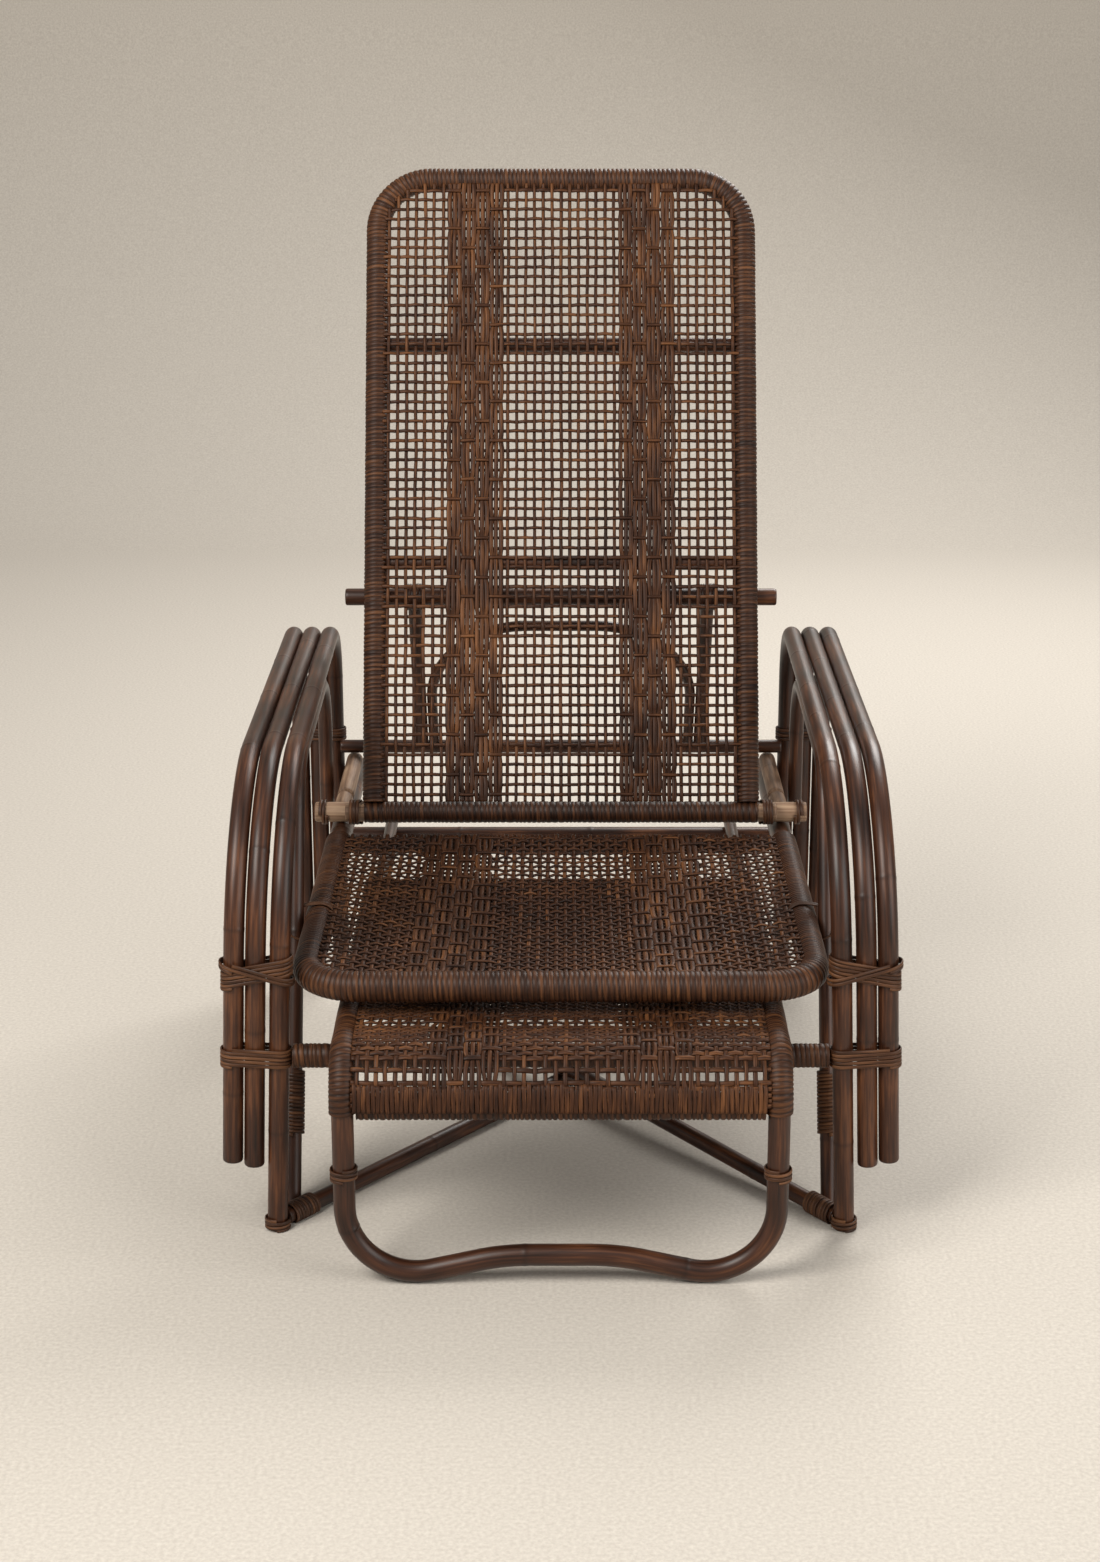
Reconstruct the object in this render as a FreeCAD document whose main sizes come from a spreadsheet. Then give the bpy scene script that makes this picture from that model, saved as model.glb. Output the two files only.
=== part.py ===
import FreeCAD, Part
import math
import os

# Rattan planter's chair: bundled cane arms on a lashed base, a woven seat, a woven
# back that is held by a prop on two racks, and a leg rest that pulls out from below.
# X is the chair's width, the sitter looks along -Y, Z is up and the floor is Z = 0.
# Depths in the table are counted from the plane of the two front legs, to the back.

SIZES = [
    # arms: three canes side by side on each side
    ("cane_radius", 11.5), ("arm_front_x", 301.6), ("arm_front_step", 23.4),
    ("arm_rear_x", 301.6), ("arm_rear_step", 23.4), ("arm_splay", 12.0),
    ("arm_inner_gap", 3.0),
    ("arm_height", 502.0), ("arm_front_bend", 185.0), ("arm_rear_bend", 70.0),
    ("arm_rear_depth", 762.0), ("outer_end_height", 82.0), ("middle_end_height", 77.0),
    # arch cane that is nested under each arm
    ("arch_radius", 9.5), ("arch_drop", 40.0), ("arch_front_x", 302.3),
    ("arch_rear_x", 307.0), ("arch_foot_depth", 59.0), ("arch_shoulder_depth", 251.0),
    ("arch_rear_depth", 669.0), ("arch_end_height", 280.0), ("arch_bend", 80.0),
    # seat hoop, whose two sides run on to the back and carry the racks
    ("rail_radius", 14.0), ("rail_x", 275.5), ("rail_height", 294.0),
    ("rail_front_depth", -20.0), ("rail_end_depth", 800.0), ("rail_corner", 60.0),
    ("seat_wrap", 3.0), ("seat_back_depth", 458.0), ("seat_back_radius", 10.0),
    ("weave_thick", 3.4), ("weave_rise", 11.0), ("seat_sag", 22.0), ("flat_sag", 0.5),
    # stretchers, runners and floor braces
    ("stretcher_radius", 11.0), ("stretcher_wrap", 2.5), ("stretcher_height", 206.0),
    ("runner_radius", 8.5), ("brace_radius", 10.0),
    ("brace_crossing", 45.0), ("brace_bend", 420.0),
    # hinge of the back
    ("hinge_depth", 485.0), ("hinge_height", 329.0), ("hinge_bar_radius", 12.8),
    ("hinge_bar_length", 616.0),
    # back
    ("recline", 22.5), ("back_length", 821.6), ("back_width", 494.0),
    ("back_core", 11.5), ("back_wrap", 3.5), ("back_corner", 67.0),
    ("back_rail_radius", 11.0), ("back_rail_wrap", 2.5), ("back_rail_length", 536.0),
    ("back_rail_wrapped", 488.0), ("open_side", 79.0), ("dense_band", 71.0), ("grid_bar", 7.0),
    ("grid_border", 5.0), ("cross_radius", 9.5), ("upper_cross", 593.0),
    ("lower_cross", 314.0), ("rod_radius", 11.0), ("rod_length", 544.0),
    ("rod_share", 0.9928),
    # racks and the prop
    ("rack_radius", 11.0), ("rack_gap", 13.0), ("rack_clear", 3.5),
    ("prop_radius", 9.0), ("prop_x", 185.0), ("prop_eye_wall", 6.0),
    ("prop_eye_width", 20.0), ("prop_bar_length", 588.0), ("prop_arch_radius", 7.0),
    ("prop_arch_drop", 32.0), ("prop_arch_shoulder", 150.0), ("prop_upright", 18.0),
    # leg rest
    ("rest_radius", 12.0), ("rest_wrap", 2.5), ("rest_x", 228.0), ("rest_depth", -126.0),
    ("rest_back_depth", 430.0), ("rest_bend", 46.0), ("rest_wrap_end", 195.0),
    ("rest_bar_radius", 9.0), ("bow_bend", 75.0), ("bow_shoulder", 60.0),
    ("bow_rise", 38.0), ("bow_crown", 260.0),
    # bindings of split cane
    ("strand_radius", 1.6), ("strand_step", 4.2), ("upper_binding", 304.0),
    ("upper_binding_tilt", 14.0), ("rear_binding", 352.0), ("leg_wrap_height", 72.0),
    ("leg_tie_height", 120.0),
    # running gaps and the overrun of cuts
    ("fit_gap", 0.3), ("swing_gap", 0.6), ("overrun", 40.0),
]
LASH_TURNS = {"upper": 5, "lower": 5, "rear": 4, "hinge": 3, "bar": 2, "wrap": 17, "tie": 3}
SAG_SHARES = (0.3, 0.86, 1.0, 0.77, 0.0)
OPENINGS = {"side": 3, "centre": 5, "rows": 11}
LEFT, RIGHT = -1, 1
SIDE_NAME = {LEFT: "left", RIGHT: "right"}
SIDE_AXIS = FreeCAD.Vector(1, 0, 0)
DEPTH_AXIS = FreeCAD.Vector(0, 1, 0)
UP_AXIS = FreeCAD.Vector(0, 0, 1)


doc = FreeCAD.newDocument("PlanterChair")
sheet = doc.addObject("Spreadsheet::Sheet", "Sizes")
for row, (alias, value) in enumerate(SIZES, start=1):
    sheet.set(f"A{row}", alias)
    sheet.set(f"B{row}", str(value))
    sheet.setAlias(f"B{row}", alias)
doc.recompute()
size = {alias: float(sheet.get(alias)) for alias, _ in SIZES}
subparts = []


def front_to_back_middle():
    """Depth of the middle of the whole chair, so that the origin lies under it."""
    front = size["rest_depth"] - size["rest_radius"] - size["rest_wrap"]
    top_bar = size["back_length"] - size["back_core"] - size["back_wrap"]
    lean = math.radians(size["recline"])
    rear = size["hinge_depth"] + top_bar * math.sin(lean) + size["back_core"] + size["back_wrap"]
    return (front + rear) / 2


MIDDLE = front_to_back_middle()


def place(x, depth, height):
    """Point of the chair from its width, its depth behind the front legs and its height."""
    return FreeCAD.Vector(x, depth - MIDDLE, height)


def keep(item, label):
    item.Label = label
    subparts.append(item)
    return item


def shape_part(label, shape, placement=None):
    """Piece whose shape is worked out here; its placement is set after its shape."""
    item = doc.addObject("Part::Feature", label)
    item.Shape = shape
    if placement is not None:
        item.Placement = placement
    return keep(item, label)


def straight_cane(label, radius_rule, length_rule, start, direction, turn=None):
    """Cylinder whose radius and length are bound to the table."""
    item = doc.addObject("Part::Cylinder", label)
    item.setExpression("Radius", radius_rule)
    item.setExpression("Height", length_rule)
    rotation = FreeCAD.Rotation(UP_AXIS, direction)
    item.Placement = FreeCAD.Placement(start, rotation)
    if turn is not None:
        item.Placement = turn.multiply(item.Placement)
    return keep(item, label)


def rounded_path(points, radii):
    """Wire of straight runs joined by tangent arcs; radii has one value for each inner point."""
    edges = []
    last = points[0]
    for index, radius in enumerate(radii, start=1):
        corner = points[index]
        back = (points[index - 1] - corner).normalize()
        ahead = (points[index + 1] - corner).normalize()
        turn = math.pi - back.getAngle(ahead)
        reach = radius * math.tan(turn / 2)
        start = corner + back * reach
        end = corner + ahead * reach
        inward = (back + ahead).normalize()
        middle = corner + inward * (radius / math.cos(turn / 2) - radius)
        edges.append(Part.LineSegment(last, start).toShape())
        edges.append(Part.Arc(start, middle, end).toShape())
        last = end
    edges.append(Part.LineSegment(last, points[-1]).toShape())
    return Part.Wire(edges)


def swept(path, radius):
    """Solid round cane along a wire."""
    first = path.OrderedEdges[0]
    start = first.valueAt(first.FirstParameter)
    tangent = first.tangentAt(first.FirstParameter)
    ring = Part.Wire(Part.makeCircle(radius, start, tangent))
    return path.makePipeShell([ring], True, False)


def wrapped(path, core, thickness):
    """Sleeve of wrapping round a cane, as one hollow sweep."""
    return swept(path, core + thickness).cut(swept(path, core))


def flat_foot(shape):
    """The same cane sawn level with the floor."""
    over = size["overrun"]
    box = shape.BoundBox
    block = Part.makeBox(box.XLength + 2 * over, box.YLength + 2 * over, over,
                         FreeCAD.Vector(box.XMin - over, box.YMin - over, -over))
    return shape.cut(block)


def mirrored(shape, side):
    """Right-hand shape as it is, or its mirror image for the left."""
    if side == RIGHT:
        return shape
    return shape.mirror(FreeCAD.Vector(), SIDE_AXIS)


def winding(turns, step, half_span, bend, tilt=0.0):
    """One strand wound round an upright bundle: level runs and tilted half turns.

    half_span is half the distance between the centres of the two half turns along X and
    bend is the radius of these turns. The strand starts on the near side. The bundle
    leans by tilt degrees to -X and the turns climb along it.
    """
    climb = FreeCAD.Vector(-math.tan(math.radians(tilt)), 0, 1)
    near = FreeCAD.Vector(0, -bend, 0)
    far = FreeCAD.Vector(0, bend, 0)
    span = SIDE_AXIS * half_span
    edges = []
    for turn in range(round(turns)):
        low = climb * (step * turn)
        high = climb * (step * (turn + 1))
        middle = (low + high) / 2
        if half_span > 0:
            edges.append(Part.LineSegment(near - span + low, near + span + low).toShape())
        half = (far - near + middle - low) / 2
        centre = near + span + low + half
        edges.append(Part.Arc(near + span + low, centre + SIDE_AXIS * half.Length,
                              far + span + middle).toShape())
        if half_span > 0:
            edges.append(Part.LineSegment(far + span + middle, far - span + middle).toShape())
        centre = (far + middle + near + high) / 2 - span
        edges.append(Part.Arc(far - span + middle, centre - SIDE_AXIS * half.Length,
                              near - span + high).toShape())
    path = Part.Wire(edges)
    report_gap(path, step)
    return swept(path, size["strand_radius"])


def report_gap(path, step):
    """Print the least gap of a wound strand to itself, measured on points."""
    count = 40
    points = [edge.discretize(count) for edge in path.OrderedEdges]
    flat = [point for run in points for point in run]
    per_turn = count * len(path.OrderedEdges) * step / max(path.BoundBox.ZLength, step)
    apart = int(per_turn / 2)
    least = min(first.distanceToPoint(second)
                for index, first in enumerate(flat[::4])
                for second in flat[index * 4 + apart::4])
    print("strand gap", round(least - 2 * size["strand_radius"], 3))


def arm_bottom(index):
    """Height at which cane number index of an arm is sawn off; the inner one stands."""
    return (-size["overrun"] / 2, size["middle_end_height"], size["outer_end_height"])[index]


def arm_front_point(index, height):
    """Centre of cane number index of a right arm on its front leg at a height."""
    straight = size["arm_height"] - size["arm_front_bend"]
    fall = (straight - height) / straight
    x = size["arm_front_x"] + index * size["arm_front_step"] + size["arm_splay"] * fall
    x += min(index, 1) * size["arm_inner_gap"]
    return place(x, 0, height)


def arm_rear_point(index, height):
    x = size["arm_rear_x"] + index * size["arm_rear_step"]
    return place(x, size["arm_rear_depth"], height)


def arm_cane(index):
    """Right-hand arm cane: front leg, level arm and rear leg in one bent cane."""
    top = size["arm_height"]
    points = [arm_front_point(index, arm_bottom(index)), arm_front_point(index, top),
              arm_rear_point(index, top), arm_rear_point(index, arm_bottom(index))]
    path = rounded_path(points, [size["arm_front_bend"], size["arm_rear_bend"]])
    return flat_foot(swept(path, size["cane_radius"]))


def arch_height():
    """Height of the arch's level run, below the arm."""
    return size["arm_height"] - size["arch_drop"]


def arch_lean():
    """How far the arch's front leg moves back for each unit of height."""
    return (size["arch_shoulder_depth"] - size["arch_foot_depth"]) / arch_height()


def arch_cane():
    """Right-hand arch under the arm: its front leg leans forward to the floor."""
    foot_x, rear_x = size["arch_front_x"], size["arch_rear_x"]
    below = -size["overrun"] / 2
    points = [place(foot_x, size["arch_foot_depth"] + below * arch_lean(), below),
              place(foot_x, size["arch_shoulder_depth"], arch_height()),
              place(rear_x, size["arch_rear_depth"], arch_height()),
              place(rear_x, size["arch_rear_depth"], size["arch_end_height"])]
    path = rounded_path(points, [size["arch_bend"], size["arch_bend"]])
    return flat_foot(swept(path, size["arch_radius"]))


def build_arms():
    names = ("inner", "middle", "outer")
    for index, name in enumerate(names):
        right = arm_cane(index)
        for side in (LEFT, RIGHT):
            shape_part(f"{name}_arm_cane_{SIDE_NAME[side]}", mirrored(right, side))
    right = arch_cane()
    for side in (LEFT, RIGHT):
        shape_part(f"arch_cane_{SIDE_NAME[side]}", mirrored(right, side))


def hoop_path(end_depth):
    """Seat hoop's centre line, from one side round the front to the other side."""
    x, z = size["rail_x"], size["rail_height"]
    front = size["rail_front_depth"]
    points = [place(-x, end_depth, z), place(-x, front, z), place(x, front, z),
              place(x, end_depth, z)]
    return rounded_path(points, [size["rail_corner"], size["rail_corner"]])


def build_seat():
    core = size["rail_radius"]
    shape_part("seat_hoop", swept(hoop_path(size["rail_end_depth"]), core))
    wrap_end = size["seat_back_depth"] + size["seat_back_radius"]
    shape_part("seat_wrap", wrapped(hoop_path(wrap_end), core, size["seat_wrap"]))
    inner = size["rail_x"] - core - size["seat_wrap"] - size["fit_gap"]
    start = place(-inner, size["seat_back_depth"], size["rail_height"])
    straight_cane("seat_back_cane", "Sizes.seat_back_radius",
                  "2 * (Sizes.rail_x - Sizes.rail_radius - Sizes.seat_wrap - Sizes.fit_gap)",
                  start, SIDE_AXIS)
    build_seat_weave()


def chord_edge(centre, radius, rise, gap):
    """How far a flat sheet that lies rise above a round rim's centre may reach."""
    return centre - math.sqrt(radius ** 2 - rise ** 2) - gap


def seat_section(half, depth, sag):
    """Closed outline of the seat sheet at a depth: two arcs that sag, joined at the sides."""
    base = size["rail_height"] + size["weave_rise"]
    bottom = (place(-half, depth, base), place(0, depth, base - sag), place(half, depth, base))
    lift = UP_AXIS * size["weave_thick"]
    top = [point + lift for point in bottom]
    return Part.Wire([Part.Arc(*bottom).toShape(),
                      Part.LineSegment(bottom[2], top[2]).toShape(),
                      Part.Arc(top[2], top[1], top[0]).toShape(),
                      Part.LineSegment(top[0], bottom[0]).toShape()])


def build_seat_weave():
    """Woven seat: a sheet that sags between its rims and lies over its rear cane."""
    rim = size["rail_radius"] + size["seat_wrap"]
    half = chord_edge(size["rail_x"], rim, size["weave_rise"], size["fit_gap"])
    front = size["rail_front_depth"] + rim
    rear = size["seat_back_depth"] - size["seat_back_radius"]
    depths = [front + (rear - front) * step / (len(SAG_SHARES) - 1)
              for step in range(len(SAG_SHARES))]
    sections = [seat_section(half, depth, max(size["seat_sag"] * share, size["flat_sag"]))
                for depth, share in zip(depths, SAG_SHARES)]
    over_cane = seat_section(half, size["seat_back_depth"] + size["seat_back_radius"],
                             size["flat_sag"])
    sheet_solid = Part.makeLoft(sections + [over_cane], True, True)
    corner = size["rail_corner"]
    above = size["overrun"]
    clear = Part.makeBox(2 * size["rail_x"], size["seat_back_depth"] + above, 2 * above,
                         place(-size["rail_x"], front, size["rail_height"] - above))
    clear = clear.makeFillet(corner - rim / 2, [edge for edge in clear.Edges
                             if edge.BoundBox.ZLength > above
                             and edge.BoundBox.YMin < front - MIDDLE + above])
    hoop_room = swept(hoop_path(size["rail_end_depth"]), rim + size["fit_gap"])
    shape_part("seat_weave", sheet_solid.common(clear).cut(hoop_room))


def build_base():
    """Stretchers, leg rest runners, crossed floor braces and the hinge bar."""
    wrap_radius = size["stretcher_radius"] + size["stretcher_wrap"]
    height = size["stretcher_height"]
    strand = 2 * size["strand_radius"] + 2 * size["fit_gap"]
    half = arm_front_point(0, height).x - size["cane_radius"] - strand
    start = place(-half, 0, height)
    long_bar = Part.makeCylinder(size["stretcher_radius"], 2 * half, start, SIDE_AXIS)
    shape_part("front_stretcher", long_bar)
    sleeve = Part.makeCylinder(wrap_radius, 2 * half, start, SIDE_AXIS).cut(long_bar)
    shape_part("front_stretcher_wrap", sleeve)
    straight_cane("rear_stretcher", "Sizes.stretcher_radius + Sizes.stretcher_wrap",
                  "2 * (Sizes.arm_rear_x - Sizes.cane_radius - Sizes.fit_gap)",
                  place(-size["arm_rear_x"] + size["cane_radius"] + size["fit_gap"],
                        size["arm_rear_depth"], height), SIDE_AXIS)
    runner_height = height + wrap_radius + size["runner_radius"]
    for side in (LEFT, RIGHT):
        straight_cane(f"rest_runner_{SIDE_NAME[side]}", "Sizes.runner_radius",
                      "Sizes.arm_rear_depth + 2 * Sizes.stretcher_radius",
                      place(side * size["rest_x"], -size["stretcher_radius"], runner_height),
                      DEPTH_AXIS)
    build_braces()
    bar_height = size["rail_height"] + size["rail_radius"] + size["hinge_bar_radius"]
    straight_cane("hinge_bar", "Sizes.hinge_bar_radius", "Sizes.hinge_bar_length",
                  place(-size["hinge_bar_length"] / 2, hinge_bar_depth(), bar_height), SIDE_AXIS)
    build_racks()


def hinge_bar_depth():
    return (size["hinge_depth"] + size["back_rail_radius"] + size["back_rail_wrap"]
            + size["hinge_bar_radius"] + size["fit_gap"])


def build_braces():
    """Two canes crossed on the floor; the right-hand one is bent over the other."""
    low = size["brace_radius"]
    high = low + 2 * size["brace_radius"] + size["fit_gap"]
    front_foot = arm_front_point(0, low)
    rear_foot = arm_rear_point(0, low)
    front_foot.x = -front_foot.x
    along = (rear_foot - front_foot).normalize()
    seat = along * (size["cane_radius"] + size["fit_gap"])
    front, rear = front_foot + seat, rear_foot - seat
    shape_part("floor_brace_lower", swept(Part.Wire(Part.LineSegment(front, rear).toShape()),
                                          size["brace_radius"]))
    front_x, rear_x = -front_foot.x, rear_foot.x
    middle = front + (rear - front) * (front_x / (front_x + rear_x))
    front, rear = front + along * size["fit_gap"], rear - along * size["fit_gap"]
    rise = UP_AXIS * (high - low)
    points = [front, middle - along * size["brace_crossing"] + rise,
              middle + along * size["brace_crossing"] + rise, rear]
    path = rounded_path(points, [size["brace_bend"], size["brace_bend"]])
    upper = swept(path, size["brace_radius"])
    shape_part("floor_brace_upper", mirrored(upper, LEFT))


def rack_height():
    return size["rail_height"] + size["rail_radius"] + size["rack_radius"]


def prop_top():
    """Depth and height of the prop's pivot rod on the back as it stands."""
    lean = math.radians(size["recline"])
    behind = rod_behind()
    depth = size["hinge_depth"] + rod_along() * math.sin(lean) + behind * math.cos(lean)
    height = size["hinge_height"] + rod_along() * math.cos(lean) - behind * math.sin(lean)
    return depth, height


def rod_along():
    """How far up the back the pivot rod sits, as a share of the hinge's gap to the rear legs."""
    return size["rod_share"] * (size["arm_rear_depth"] - size["hinge_depth"])


def rod_behind():
    """How far the pivot rod's centre lies behind the plane of the back."""
    return size["back_core"] + size["back_wrap"] + size["rod_radius"] + size["fit_gap"]


def prop_foot():
    """Depth and height of the prop's foot bar: on the racks, against the rear legs."""
    depth = size["arm_rear_depth"] - size["cane_radius"] - size["prop_radius"] - size["fit_gap"]
    height = rack_height() + size["rack_radius"] + size["prop_radius"] + size["swing_gap"]
    return depth, height


def prop_length():
    top, foot = prop_top(), prop_foot()
    return math.hypot(foot[0] - top[0], top[1] - foot[1])


def upright_notch():
    """Depth at which the foot bar stands when the back is tilted up by prop_upright."""
    top = prop_top()
    reach = math.hypot(top[0] - size["hinge_depth"], top[1] - size["hinge_height"])
    angle = math.atan2(top[1] - size["hinge_height"], top[0] - size["hinge_depth"])
    angle += math.radians(size["prop_upright"])
    depth = size["hinge_depth"] + reach * math.cos(angle)
    drop = size["hinge_height"] + reach * math.sin(angle) - prop_foot()[1]
    return depth + math.sqrt(prop_length() ** 2 - drop ** 2), math.atan2(
        math.sqrt(prop_length() ** 2 - drop ** 2), drop)


def build_racks():
    """Two short canes on each rail; the gap between them is the notch for upright use."""
    notch, _ = upright_notch()
    near_end = notch - size["rack_gap"] / 2
    far_start = notch + size["rack_gap"] / 2
    near_start = hinge_bar_depth() + size["hinge_bar_radius"] + size["rack_clear"]
    far_end = size["arm_rear_depth"] - size["cane_radius"] - size["fit_gap"]
    for side in (LEFT, RIGHT):
        x = side * size["rail_x"]
        near = Part.makeCylinder(size["rack_radius"], near_end - near_start,
                                 place(x, near_start, rack_height()), DEPTH_AXIS)
        far = Part.makeCylinder(size["rack_radius"], far_end - far_start,
                                place(x, far_start, rack_height()), DEPTH_AXIS)
        shape_part(f"near_rack_{SIDE_NAME[side]}", near)
        shape_part(f"far_rack_{SIDE_NAME[side]}", far)


def back_turn():
    """Placement that leans an upright back at the hinge."""
    return FreeCAD.Placement(place(0, size["hinge_depth"], size["hinge_height"]),
                             FreeCAD.Rotation(SIDE_AXIS, -size["recline"]))


def build_back():
    """Back, drawn upright with the hinge at the origin and then leaned."""
    turn = back_turn()
    rim = size["back_core"] + size["back_wrap"]
    half = size["back_width"] / 2 - rim
    top = size["back_length"] - rim
    foot = size["back_rail_radius"] + size["back_rail_wrap"]
    path = rounded_path([FreeCAD.Vector(-half, 0, foot), FreeCAD.Vector(-half, 0, top),
                         FreeCAD.Vector(half, 0, top), FreeCAD.Vector(half, 0, foot)],
                        [size["back_corner"], size["back_corner"]])
    rail_room = Part.makeCylinder(foot, 2 * size["back_width"],
                                  FreeCAD.Vector(-size["back_width"], 0, 0), SIDE_AXIS)
    shape_part("back_hoop", swept(path, size["back_core"]).cut(rail_room), turn)
    shape_part("back_wrap", wrapped(path, size["back_core"], size["back_wrap"]).cut(rail_room),
               turn)
    straight_cane("back_bottom_rail", "Sizes.back_rail_radius", "Sizes.back_rail_length",
                  FreeCAD.Vector(-size["back_rail_length"] / 2, 0, 0), SIDE_AXIS, turn)
    wrap_half = size["back_rail_wrapped"] / 2
    core = Part.makeCylinder(size["back_rail_radius"], 2 * wrap_half,
                             FreeCAD.Vector(-wrap_half, 0, 0), SIDE_AXIS)
    sleeve = Part.makeCylinder(foot, 2 * wrap_half, FreeCAD.Vector(-wrap_half, 0, 0), SIDE_AXIS)
    shape_part("back_rail_wrap", sleeve.cut(core), turn)
    for name in ("upper_cross", "lower_cross"):
        start = FreeCAD.Vector(-half + rim + size["fit_gap"], 0, size[name])
        straight_cane(f"back_{name}", "Sizes.cross_radius",
                      "Sizes.back_width - 4 * (Sizes.back_core + Sizes.back_wrap)"
                      " - 2 * Sizes.fit_gap", start, SIDE_AXIS, turn)
    straight_cane("prop_pivot_rod", "Sizes.rod_radius", "Sizes.rod_length",
                  FreeCAD.Vector(-size["rod_length"] / 2, rod_behind(), rod_along()),
                  SIDE_AXIS, turn)
    build_back_weave(half, top, foot, turn)


def build_back_weave(half, top, foot, turn):
    """Woven sheet of the back, in front of the cross canes and inside the rim."""
    rim = size["back_core"] + size["back_wrap"]
    middle = size["cross_radius"] + size["fit_gap"] + size["weave_thick"] / 2
    inset = math.sqrt(rim ** 2 - middle ** 2) - size["weave_thick"]
    x = half - inset
    high = top - inset
    corner = size["back_corner"] - inset
    lowest = foot + size["weave_thick"]
    points = [FreeCAD.Vector(-x, 0, lowest), FreeCAD.Vector(-x, 0, high),
              FreeCAD.Vector(x, 0, high), FreeCAD.Vector(x, 0, lowest)]
    outline = rounded_path(points, [corner, corner])
    closing = Part.LineSegment(points[-1], points[0]).toShape()
    face = Part.Face(Part.Wire(outline.OrderedEdges + [closing]))
    face.translate(DEPTH_AXIS * -(middle + size["weave_thick"] / 2))
    solid = face.extrude(DEPTH_AXIS * size["weave_thick"])
    path = rounded_path([FreeCAD.Vector(-half, 0, -foot), FreeCAD.Vector(-half, 0, top),
                         FreeCAD.Vector(half, 0, top), FreeCAD.Vector(half, 0, -foot)],
                        [size["back_corner"], size["back_corner"]])
    solid = solid.cut(swept(path, rim + size["fit_gap"]))
    shape_part("back_weave", solid.cut(weave_openings(x, lowest, high, middle)), turn)


def weave_openings(half, low, high, middle):
    """Coarse grid of openings between the dense bands of the back's weave."""
    centre = half - size["open_side"] - size["dense_band"]
    panels = ((-half, -half + size["open_side"], OPENINGS["side"]),
              (-centre, centre, OPENINGS["centre"]),
              (half - size["open_side"], half, OPENINGS["side"]))
    bar, border = size["grid_bar"], size["grid_border"]
    tall = (high - low - 2 * border) / OPENINGS["rows"]
    boxes = []
    for start, end, count in panels:
        wide = (end - start - 2 * border) / round(count)
        for column in range(round(count)):
            for row in range(round(OPENINGS["rows"])):
                corner = FreeCAD.Vector(start + border + column * wide + bar / 2,
                                        -middle - size["weave_thick"],
                                        low + border + row * tall + bar)
                boxes.append(Part.makeBox(wide - bar, 2 * size["weave_thick"], tall - 2 * bar,
                                          corner))
    return Part.Compound(boxes)


def build_prop():
    """Prop frame, drawn hanging below its rod and then swung out to the racks."""
    top, foot = prop_top(), prop_foot()
    swing = math.degrees(math.atan2(foot[0] - top[0], top[1] - foot[1]))
    turn = FreeCAD.Placement(place(0, *top), FreeCAD.Rotation(SIDE_AXIS, swing))
    length = prop_length()
    leg_end = length - size["prop_radius"]
    bore = size["rod_radius"] + size["fit_gap"]
    eye = bore + size["prop_eye_wall"]
    for side in (LEFT, RIGHT):
        x = side * size["prop_x"]
        leg = Part.makeCylinder(size["prop_radius"], leg_end, FreeCAD.Vector(x, 0, -leg_end),
                                UP_AXIS)
        start = FreeCAD.Vector(x - size["prop_eye_width"] / 2, 0, 0)
        loop = Part.makeCylinder(eye, size["prop_eye_width"], start, SIDE_AXIS)
        long_bore = Part.makeCylinder(bore, size["prop_eye_width"], start, SIDE_AXIS)
        shape = leg.fuse(loop).cut(long_bore).removeSplitter()
        shape_part(f"prop_leg_{SIDE_NAME[side]}", shape, turn)
    straight_cane("prop_foot_bar", "Sizes.prop_radius", "Sizes.prop_bar_length",
                  FreeCAD.Vector(-size["prop_bar_length"] / 2, 0, -length), SIDE_AXIS, turn)
    x = size["prop_x"] - size["prop_radius"] - size["prop_arch_radius"] - size["fit_gap"]
    apex = eye + size["prop_arch_drop"]
    shoulder = apex + size["prop_arch_shoulder"] / 2
    flat = x - size["prop_arch_shoulder"] / 2
    points = [FreeCAD.Vector(-x, 0, -leg_end), FreeCAD.Vector(-x, 0, -shoulder),
              FreeCAD.Vector(-flat, 0, -apex), FreeCAD.Vector(flat, 0, -apex),
              FreeCAD.Vector(x, 0, -shoulder), FreeCAD.Vector(x, 0, -leg_end)]
    bend = size["prop_arch_shoulder"] * 0.8
    path = rounded_path(points, [bend, bend, bend, bend])
    shape_part("prop_arch", swept(path, size["prop_arch_radius"]), turn)


def rest_height():
    """Height of the leg rest's side canes, which slide on the two runners."""
    return (size["stretcher_height"] + size["stretcher_radius"] + size["stretcher_wrap"]
            + 2 * size["runner_radius"] + size["rest_radius"] + size["rest_wrap"]
            + size["fit_gap"])


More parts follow.
